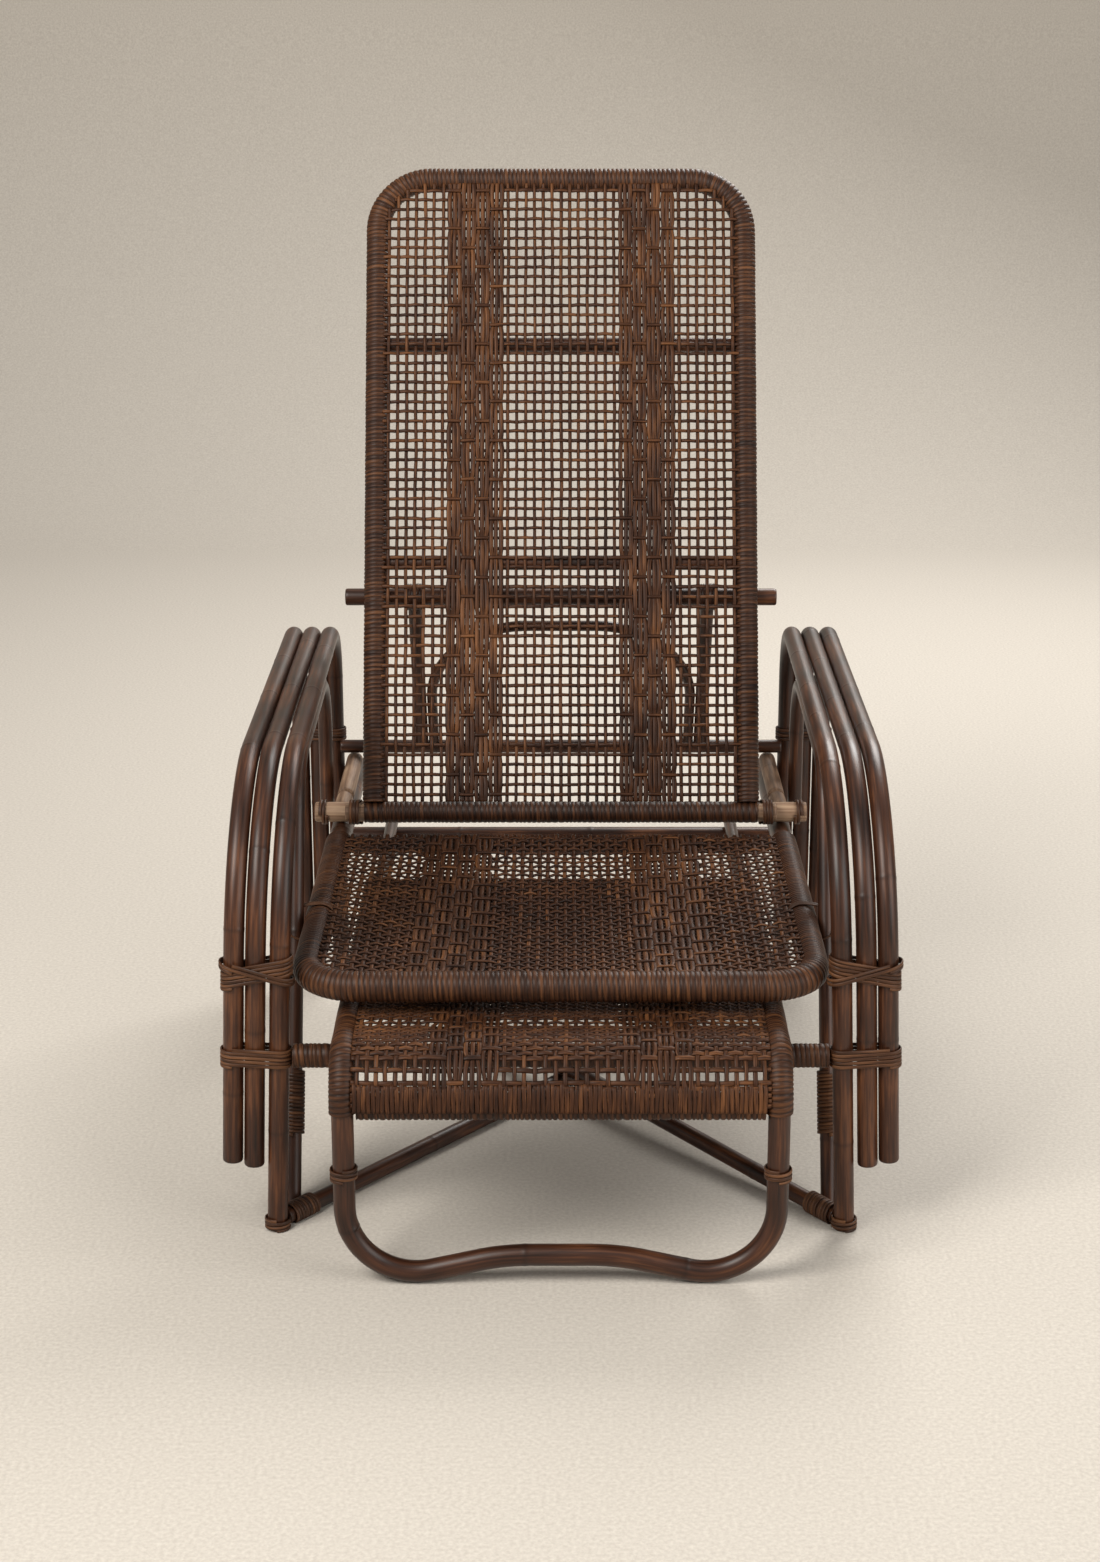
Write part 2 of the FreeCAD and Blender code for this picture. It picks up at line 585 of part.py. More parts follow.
def build_rest():
    """Leg rest: one cane bent into side rails, front legs and a waved foot bow."""
    x, depth, high = size["rest_x"], size["rest_depth"], rest_height()
    slope = math.atan2(size["bow_rise"], x - size["bow_shoulder"])
    turn = math.pi / 2 + slope
    corner = size["rest_radius"] + size["bow_bend"] * (1 - math.tan(turn / 2))
    crown = corner + (x - size["bow_shoulder"]) * math.tan(slope)
    half = [place(-x, size["rest_back_depth"], high), place(-x, depth, high),
            place(-x, depth, corner), place(-size["bow_shoulder"], depth, crown)]
    other = [FreeCAD.Vector(-point.x, point.y, point.z) for point in reversed(half)]
    radii = [size["rest_bend"], size["bow_bend"], size["bow_crown"]]
    path = rounded_path(half + other, radii + radii[::-1])
    shape_part("rest_frame", swept(path, size["rest_radius"]))
    for side in (LEFT, RIGHT):
        points = [place(side * x, size["rest_back_depth"], high), place(side * x, depth, high),
                  place(side * x, depth, size["rest_wrap_end"])]
        sleeve = wrapped(rounded_path(points, [size["rest_bend"]]), size["rest_radius"],
                         size["rest_wrap"])
        shape_part(f"rest_wrap_{SIDE_NAME[side]}", sleeve)
    inner = x - size["rest_radius"] - size["rest_wrap"] - size["fit_gap"]
    bar_rule = "2 * (Sizes.rest_x - Sizes.rest_radius - Sizes.rest_wrap - Sizes.fit_gap)"
    low = size["rest_wrap_end"] + size["rest_bar_radius"] / 2
    straight_cane("rest_front_bar", "Sizes.rest_bar_radius", bar_rule,
                  place(-inner, depth, low), SIDE_AXIS)
    straight_cane("rest_back_bar", "Sizes.rest_bar_radius", bar_rule,
                  place(-inner, size["rest_back_depth"] - size["rest_bar_radius"], high),
                  SIDE_AXIS)
    build_rest_weave(high, low)


def build_rest_weave(high, low):
    """Woven sheet over the leg rest's bars and round its front bend."""
    depth, bend = size["rest_depth"], size["rest_bend"]
    rise = size["rest_bar_radius"] + size["fit_gap"]
    rim = size["rest_radius"] + size["rest_wrap"]
    half = chord_edge(size["rest_x"], rim, rise, size["fit_gap"])
    back = size["rest_back_depth"] - size["rest_bar_radius"]
    edges = []
    rows = []
    for offset in (rise, rise + size["weave_thick"]):
        radius = bend + offset
        centre = place(-half, depth + bend, high - bend)
        top = centre + UP_AXIS * radius
        front = centre - DEPTH_AXIS * radius
        diagonal = (UP_AXIS - DEPTH_AXIS).normalize() * radius
        rows.append((place(-half, back, high + offset), top, centre + diagonal, front,
                     FreeCAD.Vector(-half, front.y, low)))
    for start, top, middle, front, end in rows:
        edges.append(Part.LineSegment(start, top).toShape())
        edges.append(Part.Arc(top, middle, front).toShape())
        edges.append(Part.LineSegment(front, end).toShape())
    edges.append(Part.LineSegment(rows[0][0], rows[1][0]).toShape())
    edges.append(Part.LineSegment(rows[0][-1], rows[1][-1]).toShape())
    outline = Part.Wire(Part.__sortEdges__(edges))
    shape_part("rest_weave", Part.Face(outline).extrude(SIDE_AXIS * (2 * half)))


def bundle_binding(turns, front, height, tilt):
    """Strand wound round the three canes of a right-hand arm's leg at a height."""
    point = arm_front_point if front else arm_rear_point
    inner, outer = point(0, height), point(2, height)
    half_span = (outer.x - inner.x) / 2 / math.cos(math.radians(tilt))
    bend = size["cane_radius"] / math.cos(math.radians(tilt)) + size["strand_radius"]
    shape = winding(turns, size["strand_step"], half_span, bend + size["fit_gap"], tilt)
    box = shape.BoundBox
    shape.translate(-box.Center)
    centre = (inner + outer) / 2
    lean = 0.0
    if front:
        straight = size["arm_height"] - size["arm_front_bend"]
        lean = math.degrees(math.atan2(size["arm_splay"], straight))
    spin = FreeCAD.Rotation(DEPTH_AXIS, tilt - lean)
    shape.Placement = FreeCAD.Placement(centre, spin).multiply(shape.Placement)
    return shape


def build_bindings():
    """Split cane lashings; each node holds the left and the right one."""
    upper = bundle_binding(LASH_TURNS["upper"], True, size["upper_binding"],
                           size["upper_binding_tilt"])
    lower = bundle_binding(LASH_TURNS["lower"], True, size["stretcher_height"], 0.0)
    rear = bundle_binding(LASH_TURNS["rear"], False, size["rear_binding"], 0.0)
    for label, shape in (("upper_leg_bindings", upper), ("lower_leg_bindings", lower),
                         ("rear_leg_bindings", rear)):
        shape_part(label, Part.Compound([mirrored(shape, LEFT), shape]))
    shape_part("hinge_lashings", Part.Compound(
        [mirrored(hinge_lashing(), side) for side in (LEFT, RIGHT)]))
    shape_part("hinge_bar_lashings", Part.Compound(
        [mirrored(bar_lashing(), side) for side in (LEFT, RIGHT)]))
    shape_part("leg_wraps", Part.Compound(
        [mirrored(leg_wrap(), side) for side in (LEFT, RIGHT)]))
    shape_part("rest_leg_ties", Part.Compound(
        [mirrored(leg_tie(), side) for side in (LEFT, RIGHT)]))


def hinge_lashing():
    """Loops round the hinge bar and the bare end of the back's bottom rail."""
    bar = (hinge_bar_depth(),
           size["rail_height"] + size["rail_radius"] + size["hinge_bar_radius"])
    rail = (size["hinge_depth"], size["hinge_height"])
    span = math.hypot(bar[0] - rail[0], bar[1] - rail[1])
    bend = size["hinge_bar_radius"] + size["strand_radius"] + size["fit_gap"]
    shape = winding(LASH_TURNS["hinge"], size["strand_step"], span / 2, bend)
    along = FreeCAD.Vector(0, bar[0] - rail[0], bar[1] - rail[1])
    across = SIDE_AXIS.cross(along)
    spin = FreeCAD.Rotation(along, across, SIDE_AXIS, "ZXY")
    bare = (size["back_rail_length"] - size["back_rail_wrapped"]) / 4
    x = size["back_rail_wrapped"] / 2 + bare - LASH_TURNS["hinge"] * size["strand_step"] / 2
    middle = place(x, (bar[0] + rail[0]) / 2, (bar[1] + rail[1]) / 2)
    shape.Placement = FreeCAD.Placement(middle, spin)
    return shape


def bar_lashing():
    """Loops round the end of the hinge bar, just outside the rail that carries it."""
    bend = size["hinge_bar_radius"] + size["strand_radius"] + size["fit_gap"]
    shape = winding(LASH_TURNS["bar"], size["strand_step"], 0.0, bend)
    x = size["rail_x"] + size["rail_radius"] + 2 * size["strand_radius"]
    height = size["rail_height"] + size["rail_radius"] + size["hinge_bar_radius"]
    shape.Placement = FreeCAD.Placement(place(x, hinge_bar_depth(), height),
                                        FreeCAD.Rotation(UP_AXIS, SIDE_AXIS))
    return shape


def leg_wrap():
    """Strand wound up the leaning front leg of the arch."""
    bend = size["arch_radius"] + size["strand_radius"] + size["fit_gap"]
    shape = winding(LASH_TURNS["wrap"], size["strand_step"], 0.0, bend)
    height = size["leg_wrap_height"]
    start = place(size["arch_front_x"], size["arch_foot_depth"] + height * arch_lean(), height)
    along = FreeCAD.Vector(0, arch_lean(), 1)
    shape.Placement = FreeCAD.Placement(start, FreeCAD.Rotation(UP_AXIS, along))
    return shape


def leg_tie():
    """Small tie round the leg rest's bare leg."""
    bend = size["rest_radius"] + size["strand_radius"] + size["fit_gap"]
    shape = winding(LASH_TURNS["tie"], size["strand_step"], 0.0, bend)
    shape.translate(place(size["rest_x"], size["rest_depth"], size["leg_tie_height"]))
    return shape


def check_and_export():
    """Stop on any failed object or bad shape, then write one file for each piece."""
    doc.recompute()
    for item in doc.Objects:
        if any(word in item.State for word in ("Invalid", "Error")):
            raise RuntimeError(f"{item.Label} failed: {item.State}")
    for item in subparts:
        shape = item.Shape
        if shape.isNull() or not shape.isValid() or not shape.Solids:
            raise RuntimeError(f"{item.Label} has no valid solid")
        if min(solid.Volume for solid in shape.Solids) <= 0:
            raise RuntimeError(f"{item.Label} is inside out")
    os.makedirs("parts", exist_ok=True)
    for item in subparts:
        item.Shape.exportStep(f"parts/{item.Label}.step")


build_arms()
build_seat()
build_base()
build_back()
build_prop()
build_rest()
build_bindings()
check_and_export()
print("sub-parts", len(subparts), "middle", round(MIDDLE, 3))
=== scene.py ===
"""Looks of the planters chair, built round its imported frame.

Every part is drawn in millimetres as width, depth behind the front legs and height, and
is moved to the row frame when its mesh is made. The studio round it is in metres.
"""

import logging
import math
from collections.abc import Callable
from dataclasses import dataclass
from enum import Enum

import bpy
import numpy as np
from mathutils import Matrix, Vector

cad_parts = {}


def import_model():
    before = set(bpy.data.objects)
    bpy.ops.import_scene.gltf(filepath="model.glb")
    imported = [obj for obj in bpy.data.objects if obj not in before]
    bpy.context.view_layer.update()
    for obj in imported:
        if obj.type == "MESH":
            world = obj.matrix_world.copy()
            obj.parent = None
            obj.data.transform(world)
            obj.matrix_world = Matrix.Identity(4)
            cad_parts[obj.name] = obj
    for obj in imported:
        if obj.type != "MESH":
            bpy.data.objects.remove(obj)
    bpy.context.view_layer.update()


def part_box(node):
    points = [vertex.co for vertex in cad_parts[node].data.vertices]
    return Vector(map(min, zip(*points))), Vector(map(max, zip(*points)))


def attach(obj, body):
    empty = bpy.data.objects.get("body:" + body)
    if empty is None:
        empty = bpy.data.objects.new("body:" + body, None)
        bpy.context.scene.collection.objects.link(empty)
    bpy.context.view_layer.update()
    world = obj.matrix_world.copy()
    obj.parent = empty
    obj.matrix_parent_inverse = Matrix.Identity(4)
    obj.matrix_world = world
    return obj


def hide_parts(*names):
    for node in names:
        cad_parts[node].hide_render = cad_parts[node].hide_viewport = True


log = logging.getLogger("planters_chair")

MM = 0.001
SIDES = {"left": -1.0, "right": 1.0}
UP = np.array([0.0, 0.0, 1.0])
SIDEWAYS = np.array([1.0, 0.0, 0.0])
# Depth of the chair's middle, and of its rear legs.
MIDDLE = 334.086
REAR_DEPTH = 762.0
# Depth and height of the back's hinge, and the radii of the rail and the wrapping on it.
HINGE = (485.0, 329.0)
RAIL = 11.0
RAIL_WRAP = 13.5
# Distance from the inside of a tie's strand to its middle, and between its turns.
STRAND = 1.6
STEP = 4.2
# Width and thickness of that strand.
TIE_WIDTH = 4.1
TIE_THICK = 2 * STRAND * 0.62
# Room between pieces that touch.
FIT = 0.3
# Thickness of a woven sheet's solid.
SHEET = 3.4
# Greatest distance between the points of a cane's centre line.
PATH_STEP = 5.0
# Furthest start of a strand's texture, and its shift from one side of the chair to the other.
TEXTURE_START = 900.0
TEXTURE_SHIFT = 700.0
# Section of a woven strand as shares of its width and thickness, and the painted shade at its
# corners: darkest at its side edges, where it meets its neighbours, and less dark on its
# underside.
SECTION_ACROSS = np.array([-0.5, -0.32, 0.32, 0.5, 0.32, -0.32])
SECTION_UP = np.array([0.0, 0.5, 0.5, 0.0, -0.5, -0.5])
SECTION_SHADE = np.array([0.8, 0.0, 0.0, 0.8, 0.4, 0.4])
# Groups of a dense band, strands of a group, and the share of its room that a group fills.
GROUPS = 4
GROUP_STRANDS = 3
GROUP_FILL = 0.96
# Points from the end of a path that give its direction there.
LEAD = 8


class Slot(Enum):
    """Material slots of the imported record."""

    DARK = "dark_cane"
    BARE = "bare_cane"
    WRAP = "cane_wrapping"
    WEAVE = "woven_cane"
    TIE = "split_cane_tie"


class Body(Enum):
    """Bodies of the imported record."""

    BASE = "base"
    BACK = "back"
    PROP = "prop"
    REST = "leg_rest"


@dataclass(frozen=True)
class Surface:
    """Part of a mesh in millimetres.

    Attributes:
        points: (N, 3) corners as width, depth and height.
        faces: Arrays of corner numbers, one row for each face.
        lay: (N, 3) the same corners on the strand or pole laid out straight along Z.
        mark: (N,) share, from 0 to 1, of the darkening at a node ring, worn end or sleeve's
            closing ring, and of the painted shade in a groove, at a strand's edge or on a woven
            strand's underside.
    """

    points: np.ndarray
    faces: list[np.ndarray]
    lay: np.ndarray
    mark: np.ndarray


@dataclass(frozen=True)
class Piece:
    """What a mesh stands for and what carries it.

    Attributes:
        name: Name of the mesh and of its object.
        body: Body that carries it.
        slot: Its material slot.
        nodes: CAD nodes that it replaces.
    """

    name: str
    body: Body
    slot: Slot
    nodes: tuple[str, ...]


Pieces = list[tuple[Piece, Surface]]
Put = Callable[[np.ndarray, np.ndarray, np.ndarray], np.ndarray]
Ends = Callable[[float], tuple[float, float]]


def of_node(node: str, kind: str, body: Body, slot: Slot) -> Piece:
    """The piece that replaces one CAD node, named after it and its own kind."""
    return Piece(f"{node}_{kind}", body, slot, (node,))


def joined(parts: list[Surface]) -> Surface:
    """Several surfaces as one.

    Args:
        parts: The surfaces.

    Returns:
        One surface whose face numbers are shifted by the corners before them.
    """
    faces = []
    start = 0
    for part in parts:
        faces.extend(face + start for face in part.faces)
        start += len(part.points)
    return Surface(np.concatenate([p.points for p in parts]), faces,
                   np.concatenate([p.lay for p in parts]),
                   np.concatenate([p.mark for p in parts]))


def moved(part: Surface, move: Callable[[np.ndarray], np.ndarray]) -> Surface:
    """The surface with its corners moved by a function of all of them."""
    return Surface(move(part.points), part.faces, part.lay, part.mark)


def mirrored(part: Surface) -> Surface:
    """The surface on the other side of the chair, with its faces still outward."""
    return Surface(part.points * [-1.0, 1.0, 1.0], [face[:, ::-1] for face in part.faces],
                   part.lay + UP * TEXTURE_SHIFT, part.mark)


def make_piece(piece: Piece, part: Surface, materials: dict[Slot, bpy.types.Material]) -> None:
    """Builds the mesh of a piece and ties it to its body, nodes and slot.

    Args:
        piece: What the mesh stands for.
        part: Its surface in millimetres.
        materials: Material of each slot.
    """
    mesh = bpy.data.meshes.new(piece.name)
    points = (part.points - [0.0, MIDDLE, 0.0]) * MM
    corners = np.concatenate([face.ravel() for face in part.faces]).astype(np.int32)
    counts = np.concatenate([np.full(len(face), face.shape[1]) for face in part.faces])
    starts = np.concatenate([[0], np.cumsum(counts)[:-1]]).astype(np.int32)
    mesh.vertices.add(len(points))
    mesh.vertices.foreach_set("co", points.astype(np.float32).ravel())
    mesh.loops.add(len(corners))
    mesh.loops.foreach_set("vertex_index", corners)
    mesh.polygons.add(len(starts))
    mesh.polygons.foreach_set("loop_start", starts)
    mesh.polygons.foreach_set("use_smooth", np.ones(len(starts), bool))
    mesh.update(calc_edges=True)
    lay = mesh.attributes.new("lay", "FLOAT_VECTOR", "POINT")
    lay.data.foreach_set("vector", (part.lay * MM).astype(np.float32).ravel())
    mark = mesh.attributes.new("mark", "FLOAT", "POINT")
    mark.data.foreach_set("value", part.mark.astype(np.float32))
    mesh.materials.append(materials[piece.slot])
    obj = bpy.data.objects.new(piece.name, mesh)
    bpy.context.scene.collection.objects.link(obj)
    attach(obj, piece.body.value)
    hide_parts(*piece.nodes)
    triangles = int((counts - 2).sum())
    log.info("%s: %d triangles", piece.name, triangles)


def unit(vector: np.ndarray) -> np.ndarray:
    """Vectors scaled to a length of one."""
    return vector / np.linalg.norm(vector, axis=-1, keepdims=True)


def bent_path(corners: list[tuple[float, float, float]], radii: list[float],
              step: float) -> np.ndarray:
    """Points along straight runs joined by tangent arcs.

    Each arc starts at reach = radius x tan(half the turn) before its corner.

    Args:
        corners: The first point, the corners and the last point.
        radii: Bend radius at each inner corner.
        step: Greatest distance between points.

    Returns:
        (N, 3) points.
    """
    nodes = [np.array(corner, float) for corner in corners]
    out = [nodes[0]]
    for index, radius in enumerate(radii, start=1):
        back = unit(nodes[index - 1] - nodes[index])
        ahead = unit(nodes[index + 1] - nodes[index])
        turn = math.pi - math.acos(float(np.clip(back @ ahead, -1.0, 1.0)))
        reach = radius * math.tan(turn / 2)
        start = nodes[index] + back * reach
        centre = nodes[index] + unit(back + ahead) * (radius / math.cos(turn / 2))
        first = unit(start - centre)
        count = max(3, math.ceil(radius * turn / step))
        angles = np.linspace(0.0, turn, count + 1)[:, None]
        arc = centre + radius * (first * np.cos(angles) - back * np.sin(angles))
        out.append(arc)
    out.append(nodes[-1])
    coarse = np.concatenate([np.atleast_2d(run) for run in out])
    return spaced(coarse, step)


def looped(half: list[tuple[float, float, float]], radii: list[float],
           step: float = PATH_STEP) -> np.ndarray:
    """Bent path over one side of the chair and back over the other.

    Args:
        half: The first point and the corners on the left.
        radii: Bend radius at each of those corners.
        step: Greatest distance between points.

    Returns:
        (N, 3) points, alike on both sides.
    """
    other = [(-x, depth, height) for x, depth, height in reversed(half)]
    return bent_path(half + other, radii + radii[::-1], step)


def spaced(points: np.ndarray, step: float) -> np.ndarray:
    """Points at equal distances along a line of points.

    Args:
        points: (N, 3) points.
        step: Greatest distance between the new ones.

    Returns:
        (M, 3) points, with the first and the last kept.
    """
    along = lengths(points)
    count = max(2, math.ceil(along[-1] / step) + 1)
    even = np.linspace(0.0, along[-1], count)
    return np.stack([np.interp(even, along, points[:, axis]) for axis in range(3)], axis=1)


def lengths(points: np.ndarray) -> np.ndarray:
    """Distance from the first point to each point, along the line."""
    steps = np.linalg.norm(np.diff(points, axis=0), axis=1)
    return np.concatenate([[0.0], np.cumsum(steps)])


def side_frames(path: np.ndarray) -> tuple[np.ndarray, np.ndarray]:
    """Two directions across a path at each point, carried along it without twist.

    Args:
        path: (N, 3) points.

    Returns:
        Two (N, 3) arrays of unit vectors at right angles to the path.
    """
    tangent = unit(np.gradient(path, axis=0))
    guide = SIDEWAYS if abs(tangent[0][0]) < 0.9 else UP
    first = np.empty_like(path)
    for index, along in enumerate(tangent):
        guide = guide - along * (guide @ along)
        guide = guide / np.linalg.norm(guide)
        first[index] = guide
    return first, np.cross(tangent, first)


def grid_faces(rows: int, around: int, closed: bool = True) -> np.ndarray:
    """Four-cornered faces of a tube of rings, or of an open sheet.

    Args:
        rows: Number of rings.
        around: Corners of each ring.
        closed: Whether the last corner of a ring joins the first.

    Returns:
        (F, 4) corner numbers.
    """
    ring = np.arange(around if closed else around - 1)
    low = (np.arange(rows - 1)[:, None] * around + ring).ravel()
    low_next = (np.arange(rows - 1)[:, None] * around + (ring + 1) % around).ravel()
    return np.stack([low, low_next, low_next + around, low + around], axis=1)


def capped_faces(rows: int, around: int) -> list[np.ndarray]:
    """Faces of a tube of rings that is closed by a flat face at each end.

    Args:
        rows: Number of rings.
        around: Corners of each ring.

    Returns:
        The four-cornered faces, and the two caps.
    """
    ring = np.arange(around)
    return [grid_faces(rows, around), ring[::-1][None], (ring + (rows - 1) * around)[None]]


def pole(path: np.ndarray, radius: float, seed: int, ends: tuple[bool, bool],
         around: int = 24) -> Surface:
    """Rattan pole with low node rings and eased ends.

    The radius at s is radius - 0.3 mm + 0.3 mm x exp(-((s - node) / 2.5)^2), and an eased
    end follows a quarter ellipse 3 mm long.

    Args:
        path: (N, 3) centre line.
        radius: Radius at the node rings.
        seed: Number that places the nodes.
        ends: Whether the first and the last end are eased.
        around: Corners of each ring.

    Returns:
        Its closed surface.
    """
    chance = np.random.default_rng(seed)
    rise, breadth, eased_run = 0.3, 2.5, 3.0
    along = lengths(path)
    total = along[-1]
    rim = np.array([0.0, 0.4, 1.2, 2.2, 3.2])
    extra = [rim, total - rim]
    first_gap, next_gaps, last_gap = (40.0, 160.0), (130.0, 260.0), 30.0
    nodes = []
    spot = chance.uniform(*first_gap)
    while spot < total - last_gap:
        nodes.append(spot)
        extra.append(spot + np.array([-5.0, -3.0, -1.5, 0.0, 1.5, 3.0, 5.0]))
        spot += chance.uniform(*next_gaps)
    even = np.unique(np.round(np.concatenate([along, *extra]), 2))
    even = even[(even >= 0.0) & (even <= total)]
    even = even[np.concatenate([[True], np.diff(even) > 0.3])]
    centre = np.stack([np.interp(even, along, path[:, axis]) for axis in range(3)], axis=1)
    first, second = side_frames(centre)
    ring_mark = np.zeros(len(even))
    for spot in nodes:
        ring_mark = np.maximum(ring_mark, np.exp(-((even - spot) / breadth) ** 2))
    size = radius - rise + rise * ring_mark
    worn = np.zeros(len(even))
    for eased, gap in ((ends[0], even), (ends[1], total - even)):
        reach = eased_run if eased else 1.0
        share = np.clip(1.0 - gap / reach, 0.0, 1.0)
        size = size - (reach * 0.6) * (1.0 - np.sqrt(1.0 - share ** 2))
        worn = np.maximum(worn, np.exp(-gap / 5.0))
    angle = np.linspace(0.0, 2 * math.pi, around, endpoint=False)
    ring = first[:, None] * np.cos(angle)[:, None] + second[:, None] * np.sin(angle)[:, None]
    points = centre[:, None] + ring * size[:, None, None]
    shift = chance.uniform(0.0, TEXTURE_START)
    flat = np.broadcast_to(np.stack([np.cos(angle), np.sin(angle)], axis=1) * radius,
                           (len(even), around, 2))
    lay = np.concatenate([flat, np.broadcast_to((even + shift)[:, None, None],
                                                (len(even), around, 1))], axis=2)
    mark = np.repeat(ring_mark * 0.5 + np.maximum(worn - 0.2, 0.0) * 0.6, around)
    return Surface(points.reshape(-1, 3), capped_faces(len(even), around), lay.reshape(-1, 3),
                   np.clip(mark, 0.0, 1.0))


def wound_sleeve(path: np.ndarray, inner: float, outer: float, pitch: float, seed: int,
                 lined: bool = False, around: int = 22) -> Surface:
    """Flat strand wound closely round a pole, as one ridged sleeve.

    Its radius is outer - 0.34 (outer - inner) |2f - 1|^3, where f is the share of the pitch
    at that angle, so the ridges climb as one screw. A sine of each turn's number makes it a
    little higher or lower. The sleeve is closed at both ends.

    Args:
        path: (N, 3) centre line.
        inner: Radius of the pole below it.
        outer: Radius over the strand.
        pitch: Distance between turns.
        seed: Number that varies the pitch.
        lined: Whether a straight bore is shown inside.
        around: Corners of each ring.

    Returns:
        Its surface.
    """
    chance = np.random.default_rng(seed)
    rings, groove_share, ripple_rise, lap = 7.0, 0.34, 0.12, 0.2
    fine = spaced(path, pitch / rings)
    along = lengths(fine)
    knots = np.linspace(0.0, along[-1], 40)
    bumps = np.interp(along, knots, chance.normal(0.0, 0.35, len(knots)))
    phase = along / pitch + bumps
    first, second = side_frames(fine)
    angle = np.linspace(0.0, 2 * math.pi, around, endpoint=False)
    turns = phase[:, None] - angle / (2 * math.pi)
    share = turns - np.floor(turns)
    edge = np.abs(2 * share - 1) ** 3
    groove = (outer - inner) * groove_share
    ripple = ripple_rise * np.sin(np.floor(turns) * 12.9898)
    size = outer - 0.14 + ripple - groove * edge
    ring = first[:, None] * np.cos(angle)[:, None] + second[:, None] * np.sin(angle)[:, None]
    points = fine[:, None] + ring * size[..., None]
    run = (np.floor(turns) + angle / (2 * math.pi)) * 2 * math.pi * outer
    lay = np.stack([share * pitch, np.zeros_like(run), run], axis=-1)
    rows = len(fine)
    rims = [fine[row] + ring[row] * (inner - lap) for row in (0, rows - 1)]
    all_points = np.concatenate([points.reshape(-1, 3), *rims])
    base = rows * around
    ids = np.arange(around)
    nexts = (ids + 1) % around
    near = np.stack([base + ids, base + nexts, nexts, ids], axis=1)
    last = (rows - 1) * around
    far = np.stack([last + ids, last + nexts, base + around + nexts, base + around + ids], axis=1)
    all_lay = np.concatenate([lay.reshape(-1, 3), lay[0], lay[-1]])
    # Painted shade in the grooves between turns, deepest at a groove's bottom; the closing rings
    # at both ends are darkened fully.
    mark = np.concatenate([edge.ravel(), np.ones(2 * around)])
    faces = [grid_faces(rows, around), near, far]
    if lined:
        faces.append(np.stack([base + nexts, base + ids, base + around + ids,
                               base + around + nexts], axis=1))
    return Surface(all_points, faces, all_lay, mark)


def ribbon(path: np.ndarray, width_way: np.ndarray, width: float, thick: float,
           shift: float) -> Surface:
    """Flat oval strand along a path.

    At angle a of its section it stands |cos a|^0.7 of half its width across and |sin a|^0.7
    of half its thickness up.

    Args:
        path: (N, 3) centre line.
        width_way: (3,) or (N, 3) direction of its width.
        width: Its width.
        thick: Its thickness.
        shift: Distance added along the laid-out strand.

    Returns:
        Its closed surface.
    """
    tangent = unit(np.gradient(path, axis=0))
    wide = np.broadcast_to(width_way, path.shape)
    wide = unit(wide - tangent * (wide * tangent).sum(axis=1, keepdims=True))
    over = np.cross(tangent, wide)
    angle = np.linspace(0.0, 2 * math.pi, 8, endpoint=False)
    across = np.sign(np.cos(angle)) * np.abs(np.cos(angle)) ** 0.7 * width / 2
    lift = np.sign(np.sin(angle)) * np.abs(np.sin(angle)) ** 0.7 * thick / 2
    points = path[:, None] + wide[:, None] * across[:, None] + over[:, None] * lift[:, None]
    along = lengths(path) + shift
    shape = (len(path), len(angle))
    lay = np.stack([np.broadcast_to(across, shape), np.broadcast_to(lift, shape),
                    np.broadcast_to(along[:, None], shape)], axis=-1)
    # Its mark paints shade on its two edges, where it meets its neighbours.
    return Surface(points.reshape(-1, 3), capped_faces(*shape), lay.reshape(-1, 3),
                   np.tile(np.abs(np.cos(angle)) ** 6 * 0.6, len(path)))


def placed(part: Surface, x_way: np.ndarray, z_way: np.ndarray, origin: np.ndarray) -> Surface:
    """A surface turned so that its X and Z lie along two directions, then moved."""
    turn = np.stack([x_way, np.cross(z_way, x_way), z_way])
    return moved(part, lambda points: points @ turn + origin)


def winding(turns: int, half_span: float, bend: float, tilt: float, seed: int) -> Surface:
    """One flat strand wound round an upright bundle.

    Each turn is two half circles joined by straight runs, and climbs by STEP.

    Args:
        turns: Number of turns.
        half_span: Half the distance between the centres of the two half turns along X.
        bend: Radius of the half turns at the strand's centre.
        tilt: Lean of the bundle to -X in degrees.
        seed: Number that loosens the turns a little.

    Returns:
        Its closed surface, centred on the origin.
    """
    chance = np.random.default_rng(seed)
    climb = np.array([-math.tan(math.radians(tilt)), 0.0, 1.0])
    count = 14
    right = np.linspace(-math.pi / 2, math.pi / 2, count)
    left = np.linspace(math.pi / 2, 3 * math.pi / 2, count)
    loop = np.concatenate([
        np.stack([half_span + bend * np.cos(right), bend * np.sin(right)], axis=1),
        np.stack([-half_span + bend * np.cos(left), bend * np.sin(left)], axis=1)])
    if half_span == 0:
        loop = np.delete(loop, count, axis=0)
    walk = np.concatenate([[0.0], np.cumsum(np.linalg.norm(np.diff(loop, axis=0), axis=1))])
    closing = np.linalg.norm(loop[0] - loop[-1])
    share = walk / (walk[-1] + closing)
    shares = np.concatenate([share + turn for turn in range(turns)] + [[float(turns)]])
    flat = np.concatenate([np.tile(loop, (turns, 1)), loop[:1]])
    slack = np.interp(shares, np.arange(turns * 2 + 2) / 2,
                      chance.normal(0.0, 0.3, turns * 2 + 2))
    path = np.concatenate([flat, np.zeros((len(flat), 1))], axis=1)
    path = path + climb * ((shares - turns / 2) * STEP + slack)[:, None]
    return ribbon(path, climb, TIE_WIDTH, TIE_THICK, chance.uniform(0.0, TEXTURE_START))


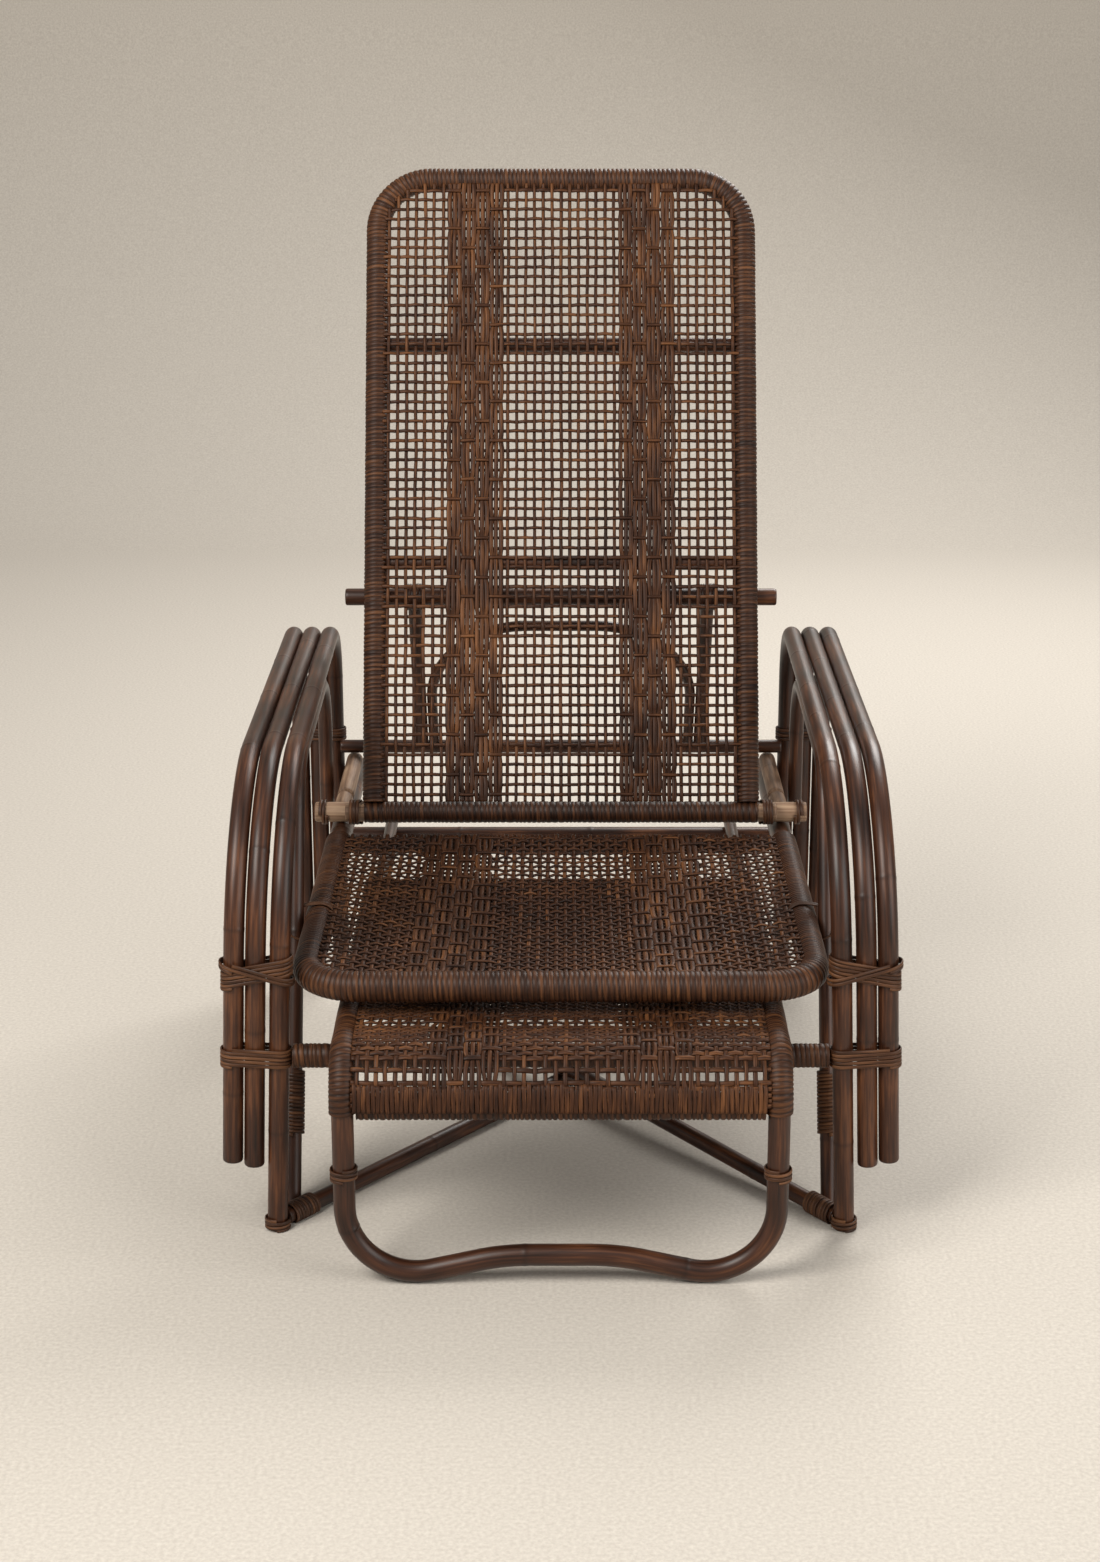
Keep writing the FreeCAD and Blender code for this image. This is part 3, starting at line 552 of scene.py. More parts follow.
@dataclass(frozen=True)
class Cut:
    """Sizes of the strands of a sheet.

    Attributes:
        side: Width of each outer open panel.
        band: Width of each dense band.
        pitch: Distance between the upright strands of an open panel.
        spread: Share by which the groups of a band widen above and narrow below.
        width: Width of a strand of an open panel and of a level one.
        band_width: Width of a strand of a dense band.
        steps: Rings of a strand between two crossings.
        lift: How far a strand's middle rises from the sheet's middle.
        thick: Thickness of a strand.
    """

    side: float
    band: float
    pitch: float
    spread: float
    width: float
    band_width: float
    steps: int = 4
    lift: float = 1.25
    thick: float = 2.2


@dataclass(frozen=True)
class Weave:
    """Flat strands woven over and under each other in a sheet.

    Attributes:
        cut: Sizes of its strands.
        columns: Place of each upright strand across the sheet.
        groups: Group of each upright strand in a dense band, or -1 in an open panel.
        rows: Place of each level strand along the sheet.
        over: (columns, rows) whether the upright strand passes over the level one.
        pinches: Distance of each upright strand from the middle of its group.
        put: Function from across, along and above the sheet to points in millimetres.
        span: Function from a column's place to where it starts and ends along the sheet.
        reach: Function from a row's place to where it starts and ends across the sheet.
    """

    cut: Cut
    columns: np.ndarray
    groups: np.ndarray
    rows: np.ndarray
    over: np.ndarray
    pinches: np.ndarray
    put: Put
    span: Ends
    reach: Ends

    @classmethod
    def laid(cls, cut: Cut, half: float, rows: np.ndarray, put: Put, span: Ends,
             reach: Ends) -> "Weave":
        """A sheet of a half width, with its columns and their crossings worked out.

        Args:
            cut: Sizes of its strands.
            half: Half its width.
            rows: Place of each level strand.
            put: As the field of that name.
            span: As the field of that name.
            reach: As the field of that name.

        Returns:
            The sheet.
        """
        columns, groups, pinches = striped_columns(half, cut)
        return cls(cut, columns, groups, rows, over_pattern(groups, len(rows)), pinches, put,
                   span, reach)

    def strand(self, place: float, crossings: np.ndarray, signs: np.ndarray,
               ends: tuple[float, float], upright: bool, seed: int, width: float,
               pinch: float = 0.0) -> Surface:
        """One strand of the sheet.

        Its height between two crossings eases from one to the next as t^2 (3 - 2t), and its
        course drifts sideways between knots at equal distances.

        Args:
            place: Where it lies across its own direction.
            crossings: Where it meets the strands of the other direction.
            signs: 1 where it passes over and -1 where it passes under.
            ends: Where it starts and ends.
            upright: Whether it is a column.
            seed: Number that varies its width and course.
            width: Its width.
            pinch: How far it lies from the middle of its group.

        Returns:
            Its closed surface.
        """
        cut, chance = self.cut, np.random.default_rng(seed)
        inside = (crossings > ends[0]) & (crossings < ends[1])
        at, sign = crossings[inside], signs[inside]
        at = np.concatenate([[ends[0]], at, [ends[1]]])
        sign = np.concatenate([[0.0], sign, [0.0]])
        parts = [np.linspace(low, high, cut.steps, endpoint=False)
                 for low, high in zip(at, at[1:])]
        along = np.concatenate(parts + [[ends[1]]])
        slot = np.clip(np.searchsorted(at, along, side="right") - 1, 0, len(at) - 2)
        share = (along - at[slot]) / np.maximum(at[slot + 1] - at[slot], 1e-6)
        ease = share * share * (3 - 2 * share)
        swell = sign[slot] + (sign[slot + 1] - sign[slot]) * ease
        height = cut.lift * swell
        knots = np.linspace(*ends, 17)
        drift = np.interp(along, knots, chance.normal(0.0, 0.36, len(knots)))
        drift = drift + pinch * cut.spread * swell
        across = SECTION_ACROSS * width * chance.uniform(0.9, 1.06)
        above = SECTION_UP * cut.thick
        beside = place + drift[:, None] + across
        ahead = np.broadcast_to(along[:, None], beside.shape)
        level = height[:, None] + above
        if upright:
            points = self.put(beside, ahead, level)
        else:
            points = self.put(ahead, beside, level)
        rows, around = beside.shape
        shift = chance.uniform(0.0, TEXTURE_START)
        lay = np.stack([np.broadcast_to(across, beside.shape),
                        np.broadcast_to(above, beside.shape), ahead + shift], axis=-1)
        faces = capped_faces(rows, around)
        if not upright:
            faces = [face[:, ::-1] for face in faces]
        # Painted shade: the strand's side edges darkest, where it meets its neighbours, and its
        # underside less so.
        mark = np.tile(SECTION_SHADE, rows)
        return Surface(points.reshape(-1, 3), faces, lay.reshape(-1, 3), mark)

    def upright(self, chosen: np.ndarray) -> Surface:
        """The columns that a mask chooses, as one surface.

        Args:
            chosen: Truth value of each column.

        Returns:
            Their strands.
        """
        strands = []
        for index in np.flatnonzero(chosen):
            place = float(self.columns[index])
            signs = np.where(self.over[index], 1.0, -1.0)
            width = self.cut.width if self.groups[index] < 0 else self.cut.band_width
            strands.append(self.strand(place, self.rows, signs, self.span(place), True,
                                       int(index), width, float(self.pinches[index])))
        return joined(strands)

    def level(self) -> Surface:
        """All the rows as one surface.

        Returns:
            Their strands.
        """
        strands = []
        for index, place in enumerate(self.rows):
            signs = np.where(self.over[:, index], -1.0, 1.0)
            strands.append(self.strand(float(place), self.columns, signs,
                                       self.reach(float(place)), False, 5000 + index,
                                       self.cut.width))
        return joined(strands)


def striped_columns(half: float, cut: Cut) -> tuple[np.ndarray, np.ndarray, np.ndarray]:
    """Places of the upright strands: open panels with two dense bands between them.

    Args:
        half: Half the sheet's width.
        cut: Sizes of the panels, bands and strands.

    Returns:
        The places, the group of each strand, or -1 in an open panel, and its distance from
        the middle of its group.
    """
    places, groups, pinches = [], [], []
    inner = half - cut.side - cut.band
    side_count = max(1, round(cut.side / cut.pitch))
    side = np.linspace(inner + cut.band, half, side_count + 1)[:-1] + cut.side / side_count / 2
    middle_count = max(1, round(2 * inner / cut.pitch))
    middle = (np.arange(middle_count) + 0.5) * 2 * inner / middle_count - inner
    for place in np.concatenate([-side, middle, side]):
        places.append(float(place))
        groups.append(-1)
        pinches.append(0.0)
    for sign in (-1.0, 1.0):
        for group in range(GROUPS):
            for strand in range(GROUP_STRANDS):
                offset = (cut.band / GROUPS * (strand - (GROUP_STRANDS - 1) / 2) * GROUP_FILL
                          / GROUP_STRANDS)
                places.append(sign * (inner + cut.band * (group + 0.5) / GROUPS + offset))
                groups.append(group + (GROUPS if sign > 0 else 0))
                pinches.append(sign * offset)
    order = np.argsort(places)
    return np.array(places)[order], np.array(groups)[order], np.array(pinches)[order]


def over_pattern(groups: np.ndarray, rows: int) -> np.ndarray:
    """Where the upright strands pass over the level ones.

    Open panels are plain weave. The groups of a band pass over three rows and under one,
    and neighbouring groups are two rows apart.

    Args:
        groups: Group of each column, or -1.
        rows: Number of level strands.

    Returns:
        (columns, rows) array of truth values.
    """
    row = np.arange(rows)
    over = np.empty((len(groups), rows), bool)
    plain = 0
    for index, group in enumerate(groups):
        if group < 0:
            over[index] = (row + plain) % 2 == 0
            plain += 1
        else:
            over[index] = (row + 2 * (group % 2)) % 4 != 0
    return over


def pressed(points: np.ndarray) -> np.ndarray:
    """Corners near the floor pressed flat.

    A height z below a limit c of 2 mm becomes c exp((z - c) / c), which stays above the floor.

    Args:
        points: (N, 3) corners.

    Returns:
        (N, 3) corners.
    """
    limit = 2.0
    height = points[:, 2]
    flat = np.where(height < limit, limit * np.exp((np.minimum(height, limit) - limit) / limit),
                    height)
    return np.stack([points[:, 0], points[:, 1], flat], axis=1)


def node_box(node: str) -> tuple[np.ndarray, np.ndarray]:
    """Lowest and highest corner of a CAD node in millimetres of width, depth and height.

    Args:
        node: Name of the CAD node.

    Returns:
        Two (3,) corners.
    """
    low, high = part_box(node)
    shift = np.array([0.0, MIDDLE, 0.0])
    return np.array(low) / MM + shift, np.array(high) / MM + shift


def straight_line(node: str) -> tuple[np.ndarray, float]:
    """Centre line and radius of a straight CAD cane that lies along X or the depth.

    Args:
        node: Name of the CAD node.

    Returns:
        (N, 3) points along the middle of its box, and half its height.
    """
    low, high = node_box(node)
    middle = (low + high) / 2
    axis = int(np.argmax(high - low))
    ends = np.stack([middle, middle])
    ends[0, axis], ends[1, axis] = low[axis], high[axis]
    return spaced(ends, PATH_STEP), float(high[2] - low[2]) / 2


def straight_poles(body: Body, slot: Slot, nodes: tuple[str, ...], seed: int) -> Pieces:
    """Canes that are straight and level, each from the box of its CAD node.

    Args:
        body: Body that carries them.
        slot: Their material slot.
        nodes: Names of the CAD nodes.
        seed: Number that places the node rings of the first.

    Returns:
        Their pieces and surfaces.
    """
    return [(of_node(node, "pole", body, slot),
             pole(*straight_line(node), seed + number, (True, True)))
            for number, node in enumerate(nodes)]


def woven(node: str, body: Body, sheet: Weave) -> Pieces:
    """Open uprights, band uprights and level strands of one sheet.

    Args:
        node: CAD node of the sheet.
        body: Body that carries it.
        sheet: Its weave.

    Returns:
        Three pieces and their surfaces.
    """
    dense = sheet.groups >= 0
    return [(of_node(node, kind, body, Slot.WEAVE), part)
            for kind, part in (("open_uprights", sheet.upright(~dense)),
                               ("band_uprights", sheet.upright(dense)),
                               ("level_strands", sheet.level()))]


@dataclass(frozen=True)
class ArmFrames:
    """Bent canes of both arms, the arches under them, the stretchers and the floor's braces.

    Attributes:
        cane: Radius of an arm cane.
        top: Height of the arm canes' centres.
        rear_depth: Depth of the rear legs.
        front_bend: Radius of an arm's front bend.
        rear_bend: Radius of an arm's rear bend.
        front_x: Half the distance between the inner canes at the front, below the bend.
        rear_x: Half the distance between the inner canes at the rear.
        step: Distance between neighbouring canes.
        inner_gap: Extra distance between the inner and the middle cane at the front.
        splay: How far the front legs spread at the floor.
        feet: Lowest point of the inner, middle and outer cane.
        arch: Radius of an arch.
        arch_top: Height of an arch's crown.
        arch_front: Depth of an arch's foot and of its front shoulder.
        arch_rear: Depth of an arch's rear leg.
        arch_x: Half the distance between the arches at the front and at the rear.
        arch_low: Height of an arch's rear end.
        arch_bend: Radius of an arch's bends.
        brace: Radius of a brace.
        brace_flat: Half the raised run of the brace that passes over the other.
        brace_bend: Radius of its bends.
        wrap: Inner and outer radius of the stretcher's wrapping, and its pitch.
    """

    cane: float = 11.5
    top: float = 502.0
    rear_depth: float = REAR_DEPTH
    front_bend: float = 185.0
    rear_bend: float = 70.0
    front_x: float = 301.6
    rear_x: float = 301.6
    step: float = 23.4
    inner_gap: float = 3.0
    splay: float = 12.0
    feet: tuple[float, float, float] = (0.0, 77.0, 82.0)
    arch: float = 9.5
    arch_top: float = 462.0
    arch_front: tuple[float, float] = (59.0, 251.0)
    arch_rear: float = 669.0
    arch_x: tuple[float, float] = (302.3, 307.0)
    arch_low: float = 280.0
    arch_bend: float = 80.0
    brace: float = 10.0
    brace_flat: float = 45.0
    brace_bend: float = 420.0
    wrap: tuple[float, float, float] = (RAIL, RAIL_WRAP, 5.6)

    @property
    def straight(self) -> float:
        """Height at which the front legs start to bend."""
        return self.top - self.front_bend

    @property
    def lean(self) -> float:
        """How far the front legs lean from upright, in degrees."""
        return math.degrees(math.atan2(self.splay, self.straight))

    @property
    def arch_slope(self) -> float:
        """Depth that an arch's front leg gains for each unit of height."""
        return (self.arch_front[1] - self.arch_front[0]) / self.arch_top

    def front(self, index: int, height: float) -> np.ndarray:
        """Centre of cane number index of a right arm on its front leg.

        Args:
            index: 0 for the inner cane, 1 for the middle and 2 for the outer one.
            height: Height of the point.

        Returns:
            (3,) point.
        """
        fall = (self.straight - height) / self.straight
        x = self.front_x + self.step * index + self.inner_gap * min(index, 1)
        return np.array([x + self.splay * fall, 0.0, height])

    def rear(self, index: int, height: float) -> np.ndarray:
        """Centre of cane number index of a right arm on its rear leg."""
        return np.array([self.rear_x + self.step * index, self.rear_depth, height])

    def arch_point(self, height: float) -> np.ndarray:
        """Centre of a right arch's front leg at a height."""
        return np.array([self.arch_x[0], self.arch_front[0] + height * self.arch_slope, height])

    def poles(self) -> Pieces:
        """Arm canes and the arches under them, cut flat at the floor.

        Returns:
            Their pieces and surfaces.
        """
        out = []
        for side, sign in SIDES.items():
            flip = np.array([sign, 1.0, 1.0])
            for index, name in enumerate(("inner", "middle", "outer")):
                low = self.feet[index]
                path = bent_path([self.front(index, low), self.front(index, self.top),
                                  self.rear(index, self.top), self.rear(index, low)],
                                 [self.front_bend, self.rear_bend], PATH_STEP)
                ends = (index > 0, index > 0)
                out.append((of_node(f"{name}_arm_cane_{side}", "pole", Body.BASE, Slot.DARK),
                            pole(path * flip, self.cane, 200 + len(out), ends)))
            path = bent_path([(self.arch_x[0], self.arch_front[0], 0.0),
                              (self.arch_x[0], self.arch_front[1], self.arch_top),
                              (self.arch_x[1], self.arch_rear, self.arch_top),
                              (self.arch_x[1], self.arch_rear, self.arch_low)],
                             [self.arch_bend] * 2, PATH_STEP)
            out.append((of_node(f"arch_cane_{side}", "pole", Body.BASE, Slot.DARK),
                        pole(path * flip, self.arch, 200 + len(out), (False, True))))
        return [(piece, moved(part, lambda points: np.maximum(points, [-np.inf, -np.inf, 0.0])))
                for piece, part in out]

    def brace_lines(self) -> tuple[np.ndarray, np.ndarray]:
        """Centre lines of the floor's crossed canes, from their front ends.

        Returns:
            The straight one, and the one that is bent over it.
        """
        front = self.front(0, self.brace) * [-1.0, 1.0, 1.0]
        rear = self.rear(0, self.brace)
        along = unit(rear - front)
        share = -front[0] / (rear[0] - front[0])
        ends = front + along * (self.cane + FIT), rear - along * (self.cane + FIT)
        middle = ends[0] + (ends[1] - ends[0]) * share
        rise = UP * (2 * self.brace + FIT)
        upper = bent_path([ends[0] + along * FIT, middle - along * self.brace_flat + rise,
                           middle + along * self.brace_flat + rise, ends[1] - along * FIT],
                          [self.brace_bend] * 2, PATH_STEP)
        return spaced(np.stack(ends), PATH_STEP), upper * [-1.0, 1.0, 1.0]

    def braces(self) -> Pieces:
        """Two canes crossed on the floor, one bent over the other.

        Returns:
            Their pieces and surfaces.
        """
        return [(of_node(f"floor_brace_{name}", "pole", Body.BASE, Slot.DARK),
                 pole(line, self.brace, seed, (False, False)))
                for name, line, seed in zip(("lower", "upper"), self.brace_lines(), (301, 302))]

    def pieces(self) -> Pieces:
        """Everything of the arms, arches, stretchers and braces.

        Returns:
            Their pieces and surfaces.
        """
        node = "front_stretcher_wrap"
        line, _ = straight_line(node)
        inner, outer, pitch = self.wrap
        stretchers = straight_poles(Body.BASE, Slot.DARK, ("front_stretcher", "rear_stretcher"),
                                    100)
        return self.poles() + self.braces() + stretchers + [
            (of_node(node, "strand", Body.BASE, Slot.WRAP),
             wound_sleeve(line, inner, outer, pitch, 504))]


@dataclass(frozen=True)
class Seat:
    """Hooped seat rail with its wrapping and sheet, and the canes that it carries.

    Attributes:
        half: Half the distance between the side rails' centres.
        height: Height of the rail's centre.
        rail: Radius of the rail.
        front: Depth of the rail's front run.
        bend: Radius of its front corners.
        end: Depth of its rear ends.
        wrapped: Depth at which the wrapping ends.
        wrap: Thickness of the wrapping, and its pitch.
        bar: Radius of the hinge bar.
        hinge: Depth and height of the back's hinge.
        hinge_room: From the hinge to the near side of the hinge bar.
        sag: How far the sheet hangs at its lowest.
        sag_shares: Share of that sag from the sheet's front to its rear.
        sheet_run: Depth of the sheet's front and of its rear edge.
        rise: Height of the sheet's underside above the rail's centre, at the rims.
        edge: Half the width between its front corners' centres, and their radius.
        fold: Depth at which the sheet folds over its rear cane.
        fold_bend: Radius of that fold.
        tail: How far its upright strands run past the rear edge.
        cut: Sizes of its strands.
        row_pitch: Distance between its level strands.
    """

    half: float = 275.5
    height: float = 294.0
    rail: float = 14.0
    front: float = -20.0
    bend: float = 60.0
    end: float = 800.0
    wrapped: float = 468.0
    wrap: tuple[float, float] = (3.0, 5.6)
    bar: float = 12.8
    hinge: tuple[float, float] = HINGE
    hinge_room: float = RAIL_WRAP + FIT
    sag: float = 22.0
    sag_shares: tuple[float, ...] = (0.3, 0.86, 1.0, 0.77, 0.0)
    sheet_run: tuple[float, float] = (-3.0, 448.0)
    rise: float = 11.0
    edge: tuple[float, float] = (215.5, 47.0)
    fold: float = 458.0
    fold_bend: float = 12.0
    tail: float = 26.0
    cut: Cut = Cut(96.0, 84.0, 10.6, 0.16, 5.2, 6.6)
    row_pitch: float = 11.2

    @property
    def bar_centre(self) -> np.ndarray:
        """Middle of the hinge bar."""
        return np.array([0.0, self.hinge[0] + self.hinge_room + self.bar,
                         self.height + self.rail + self.bar])

    def line(self, end_depth: float) -> np.ndarray:
        """Centre line of the hoop, from one side round the front to the other.

        Args:
            end_depth: Depth of both ends.

        Returns:
            (N, 3) points.
        """
        return looped([(-self.half, end_depth, self.height),
                       (-self.half, self.front, self.height)], [self.bend])

    def sheet(self) -> Weave:
        """Closer weave, sagging between its rims and folded over its rear cane.

        At a share u of the half width it hangs its sag there x (1 - u^2) below the rims.

        Returns:
            The sheet.
        """
        half = self.half - math.sqrt((self.rail + self.wrap[0]) ** 2 - self.rise ** 2)
        front, rear = self.sheet_run
        rows = np.concatenate([np.arange(front + 6.0, rear - 4.0, self.row_pitch), [rear - 1.0]])
        centre, corner = self.edge
        corner_depth = self.front + self.bend
        stations = np.linspace(front, rear, len(self.sag_shares))

        def span(x: float) -> tuple[float, float]:
            """Depths between which a column runs."""
            past = min(max(0.0, abs(x) - centre), corner)
            return corner_depth - math.sqrt(corner ** 2 - past ** 2) - 3.0, rear + self.tail

        def reach(depth: float) -> tuple[float, float]:
            """Widths between which a row runs.

            Args:
                depth: Depth of the row.

            Returns:
                Its two ends.
            """
            past = min(max(0.0, corner_depth - depth), corner)
            edge = centre + math.sqrt(corner ** 2 - past ** 2) + 2.0
            return -edge, edge

        def put(x: np.ndarray, run: np.ndarray, above: np.ndarray) -> np.ndarray:
            """Points of the flat sheet sagged and folded.

            Args:
                x: Place across the sheet.
                run: Place along it.
                above: Height above its middle.

            Returns:
                (..., 3) points.
            """
            sag = self.sag * np.interp(run, stations, self.sag_shares)
            out = self.rise + SHEET / 2 - sag * (1 - (x / half) ** 2) + above
            turn = np.clip((run - self.fold) / self.fold_bend, 0.0, 1.5)
            return np.stack([x, np.minimum(run, self.fold) + out * np.sin(turn),
                             self.height + out * np.cos(turn)], axis=-1)

        return Weave.laid(self.cut, half, rows, put, span, reach)

    def pieces(self) -> Pieces:
        """Everything of the seat, its runners, racks and hinge bar.

        Returns:
            Their pieces and surfaces.
        """
        thick, pitch = self.wrap
        dark = ("rest_runner_left", "rest_runner_right", "seat_back_cane")
        bare = ("hinge_bar", "near_rack_left", "near_rack_right", "far_rack_left",
                "far_rack_right")
        return [(of_node("seat_hoop", "pole", Body.BASE, Slot.DARK),
                 pole(self.line(self.end), self.rail, 401, (True, True))),
                (of_node("seat_wrap", "strand", Body.BASE, Slot.WRAP),
                 wound_sleeve(self.line(self.wrapped), self.rail, self.rail + thick, pitch, 501)),
                *straight_poles(Body.BASE, Slot.DARK, dark, 102),
                *straight_poles(Body.BASE, Slot.BARE, bare, 105),
                *woven("seat_weave", Body.BASE, self.sheet())]


@dataclass(frozen=True)
class Backrest:
    """Hooped back that leans at its hinge, with its wrapping and open sheet.

    Attributes:
        hinge: Depth and height of the hinge.
        recline: Lean of the back from upright, in degrees.
        cane: Radius of the hoop.
        rim: Radius over its wrapping.
        wrap_pitch: Pitch of that wrapping.
        half: Half the distance between the hoop's sides.
        top: Distance from the hinge to the hoop's top run.
        low: Distance from the hinge to the hoop's ends and to the sheet's edge.
        bend: Radius of the hoop's corners.
        cross: Radius of the cross canes that the sheet lies on.
        rod_along: Distance from the hinge to the prop's rod, along the back.
        rod_behind: Distance of that rod behind the hoop's centre.
        rail_wrap: Inner and outer radius of the bottom rail's wrapping, and its pitch.
        cut: Sizes of the sheet's strands.
        row_pitch: Distance between its level strands.
        row_start: Distance from its lower edge to the first of them.
    """

    hinge: tuple[float, float] = HINGE
    recline: float = 22.5
    cane: float = 11.5
    rim: float = 15.0
    wrap_pitch: float = 5.4
    half: float = 232.0
    top: float = 806.6
    low: float = 12.0
    bend: float = 67.0
    cross: float = 9.5
    rod_along: float = 0.9928 * (REAR_DEPTH - HINGE[0])
    rod_behind: float = 15.0 + RAIL + FIT
    rail_wrap: tuple[float, float, float] = (RAIL, RAIL_WRAP, 6.2)
    cut: Cut = Cut(79.0, 71.0, 11.2, 0.10, 4.4, 6.0)
    row_pitch: float = 12.4
    row_start: float = 9.0

    def put(self, points: np.ndarray) -> np.ndarray:
        """Points of the upright back leaned at the hinge.

        Args:
            points: (..., 3) points, measured from the hinge.

        Returns:
            (..., 3) points on the chair.
        """
        cos, sin = math.cos(math.radians(self.recline)), math.sin(math.radians(self.recline))
        depth = points[..., 1] * cos + points[..., 2] * sin + self.hinge[0]
        height = -points[..., 1] * sin + points[..., 2] * cos + self.hinge[1]
        return np.stack([points[..., 0], depth, height], axis=-1)

    def line(self) -> np.ndarray:
        """Centre line of the hoop, upright.

        Returns:
            (N, 3) points, measured from the hinge.
        """
        return looped([(-self.half, 0.0, self.low), (-self.half, 0.0, self.top)], [self.bend])

    def sheet(self) -> Weave:
        """Open square weave with two dense bands.

        Returns:
            The sheet.
        """
        middle = self.cross + FIT + SHEET / 2
        inset = math.sqrt(self.rim ** 2 - middle ** 2)
        half, high = self.half - inset, self.top - inset
        rows = np.arange(self.low + self.row_start, high, self.row_pitch)
        corner = self.bend - inset

        def drop(over: float) -> float:
            """How far a rounded corner's edge falls short at a distance past its centre."""
            return corner - math.sqrt(max(corner ** 2 - min(over, corner) ** 2, 0.0))

        def span(x: float) -> tuple[float, float]:
            """Distances from the hinge between which a column runs."""
            return self.low, high + 2.0 - drop(max(0.0, abs(x) - (half - corner)))

        def reach(z: float) -> tuple[float, float]:
            """Widths between which a row runs."""
            edge = half + 2.0 - drop(max(0.0, z - (high - corner)))
            return -edge, edge

        def put(x: np.ndarray, z: np.ndarray, above: np.ndarray) -> np.ndarray:
            """Points of the upright sheet leaned with the back."""
            return self.put(np.stack([x, -middle - above, z], axis=-1))

        return Weave.laid(self.cut, half, rows, put, span, reach)

    def pieces(self) -> Pieces:
        """Everything that turns with the back.

        Returns:
            Its pieces and surfaces.
        """
        line, _ = straight_line("back_rail_wrap")
        inner, outer, pitch = self.rail_wrap
        dark = ("back_lower_cross", "back_upper_cross", "prop_pivot_rod")
        hoop = moved(pole(self.line(), self.cane, 402, (False, False)), self.put)
        wrap = moved(wound_sleeve(self.line(), self.cane, self.rim, self.wrap_pitch, 502),
                     self.put)
        return [(of_node("back_hoop", "pole", Body.BACK, Slot.DARK), hoop),
                (of_node("back_wrap", "strand", Body.BACK, Slot.WRAP), wrap),
                (of_node("back_rail_wrap", "strand", Body.BACK, Slot.WRAP),
                 wound_sleeve(line, inner, outer, pitch, 503)),
                *straight_poles(Body.BACK, Slot.BARE, ("back_bottom_rail",), 110),
                *straight_poles(Body.BACK, Slot.DARK, dark, 111),
                *woven("back_weave", Body.BACK, self.sheet())]


@dataclass(frozen=True)
class Prop:
    """Frame that hangs from the back's rod and stands on the racks.

    Attributes:
        arms: The arms whose rear legs stop its foot bar.
        seat: The seat whose racks carry its foot bar.
        back: The back that carries it.
        rack: Thickness of a rack.
        half: Half the distance between its legs.
        leg: Radius of a leg.
        eye: Inner and outer radius, half the width and the pitch of a leg's eye.
        arch: Radius of the arched cane between the legs.
        arch_drop: From the underside of an eye to the arch's crown.
        shoulder: Width and height of each half of the arch's shoulders.
        arch_bend: Radius of the arch's bends.
    """

    arms: ArmFrames
    seat: Seat
    back: Backrest
    rack: float = 22.0
    half: float = 185.0
    leg: float = 9.0
    eye: tuple[float, float, float, float] = (11.6, 17.3, 10.0, 5.0)
    arch: float = 7.0
    arch_drop: float = 32.0
    shoulder: float = 75.0
    arch_bend: float = 120.0

    @property
    def foot(self) -> tuple[float, float]:
        """Depth and height of the middle of its foot bar."""
        return (self.arms.rear_depth - self.arms.cane - self.leg - FIT,
                self.seat.height + self.seat.rail + self.rack + self.leg + 2 * FIT)

    @property
    def top(self) -> np.ndarray:
        """Middle of the rod that it hangs from."""
        return self.back.put(np.array([0.0, self.back.rod_behind, self.back.rod_along]))

    @property
    def length(self) -> float:
        """Distance from the rod to the middle of the foot bar."""
        return math.hypot(self.foot[0] - self.top[1], self.top[2] - self.foot[1])

    def put(self, points: np.ndarray) -> np.ndarray:
        """Points of the hanging prop swung out from its rod to the racks.

        Args:
            points: (..., 3) points, measured from the rod.

        Returns:
            (..., 3) points on the chair.
        """
        top = self.top
        swing = math.atan2(self.foot[0] - top[1], top[2] - self.foot[1])
        cos, sin = math.cos(swing), math.sin(swing)
        depth = points[..., 1] * cos - points[..., 2] * sin
        height = points[..., 1] * sin + points[..., 2] * cos
        return np.stack([points[..., 0], depth, height], axis=-1) + top

    def pieces(self) -> Pieces:
        """Everything that swings with the prop.

        Returns:
            Its pieces and surfaces.
        """
        inner, outer, width, pitch = self.eye
        leg_end = self.length - self.leg
        out = []
        for side, sign in SIDES.items():
            x = sign * self.half
            leg = pole(spaced(np.array([[x, 0.0, -inner], [x, 0.0, -leg_end]]), PATH_STEP),
                       self.leg, 404 + int(sign), (False, True))
            eye = wound_sleeve(np.array([[x - width, 0.0, 0.0], [x + width, 0.0, 0.0]]), inner,
                               outer, pitch, 406, lined=True)
            out.append((of_node(f"prop_leg_{side}", "pole", Body.PROP, Slot.DARK),
                        moved(joined([leg, eye]), self.put)))
        x, apex = self.half - self.leg - self.arch - FIT, outer + self.arch_drop
        shoulder, flat = apex + self.shoulder, x - self.shoulder
        arch = looped([(-x, 0.0, -leg_end), (-x, 0.0, -shoulder), (-flat, 0.0, -apex)],
                      [self.arch_bend] * 2)
        out.append((of_node("prop_arch", "pole", Body.PROP, Slot.DARK),
                    moved(pole(arch, self.arch, 408, (True, True)), self.put)))
        return out + straight_poles(Body.PROP, Slot.DARK, ("prop_foot_bar",), 114)


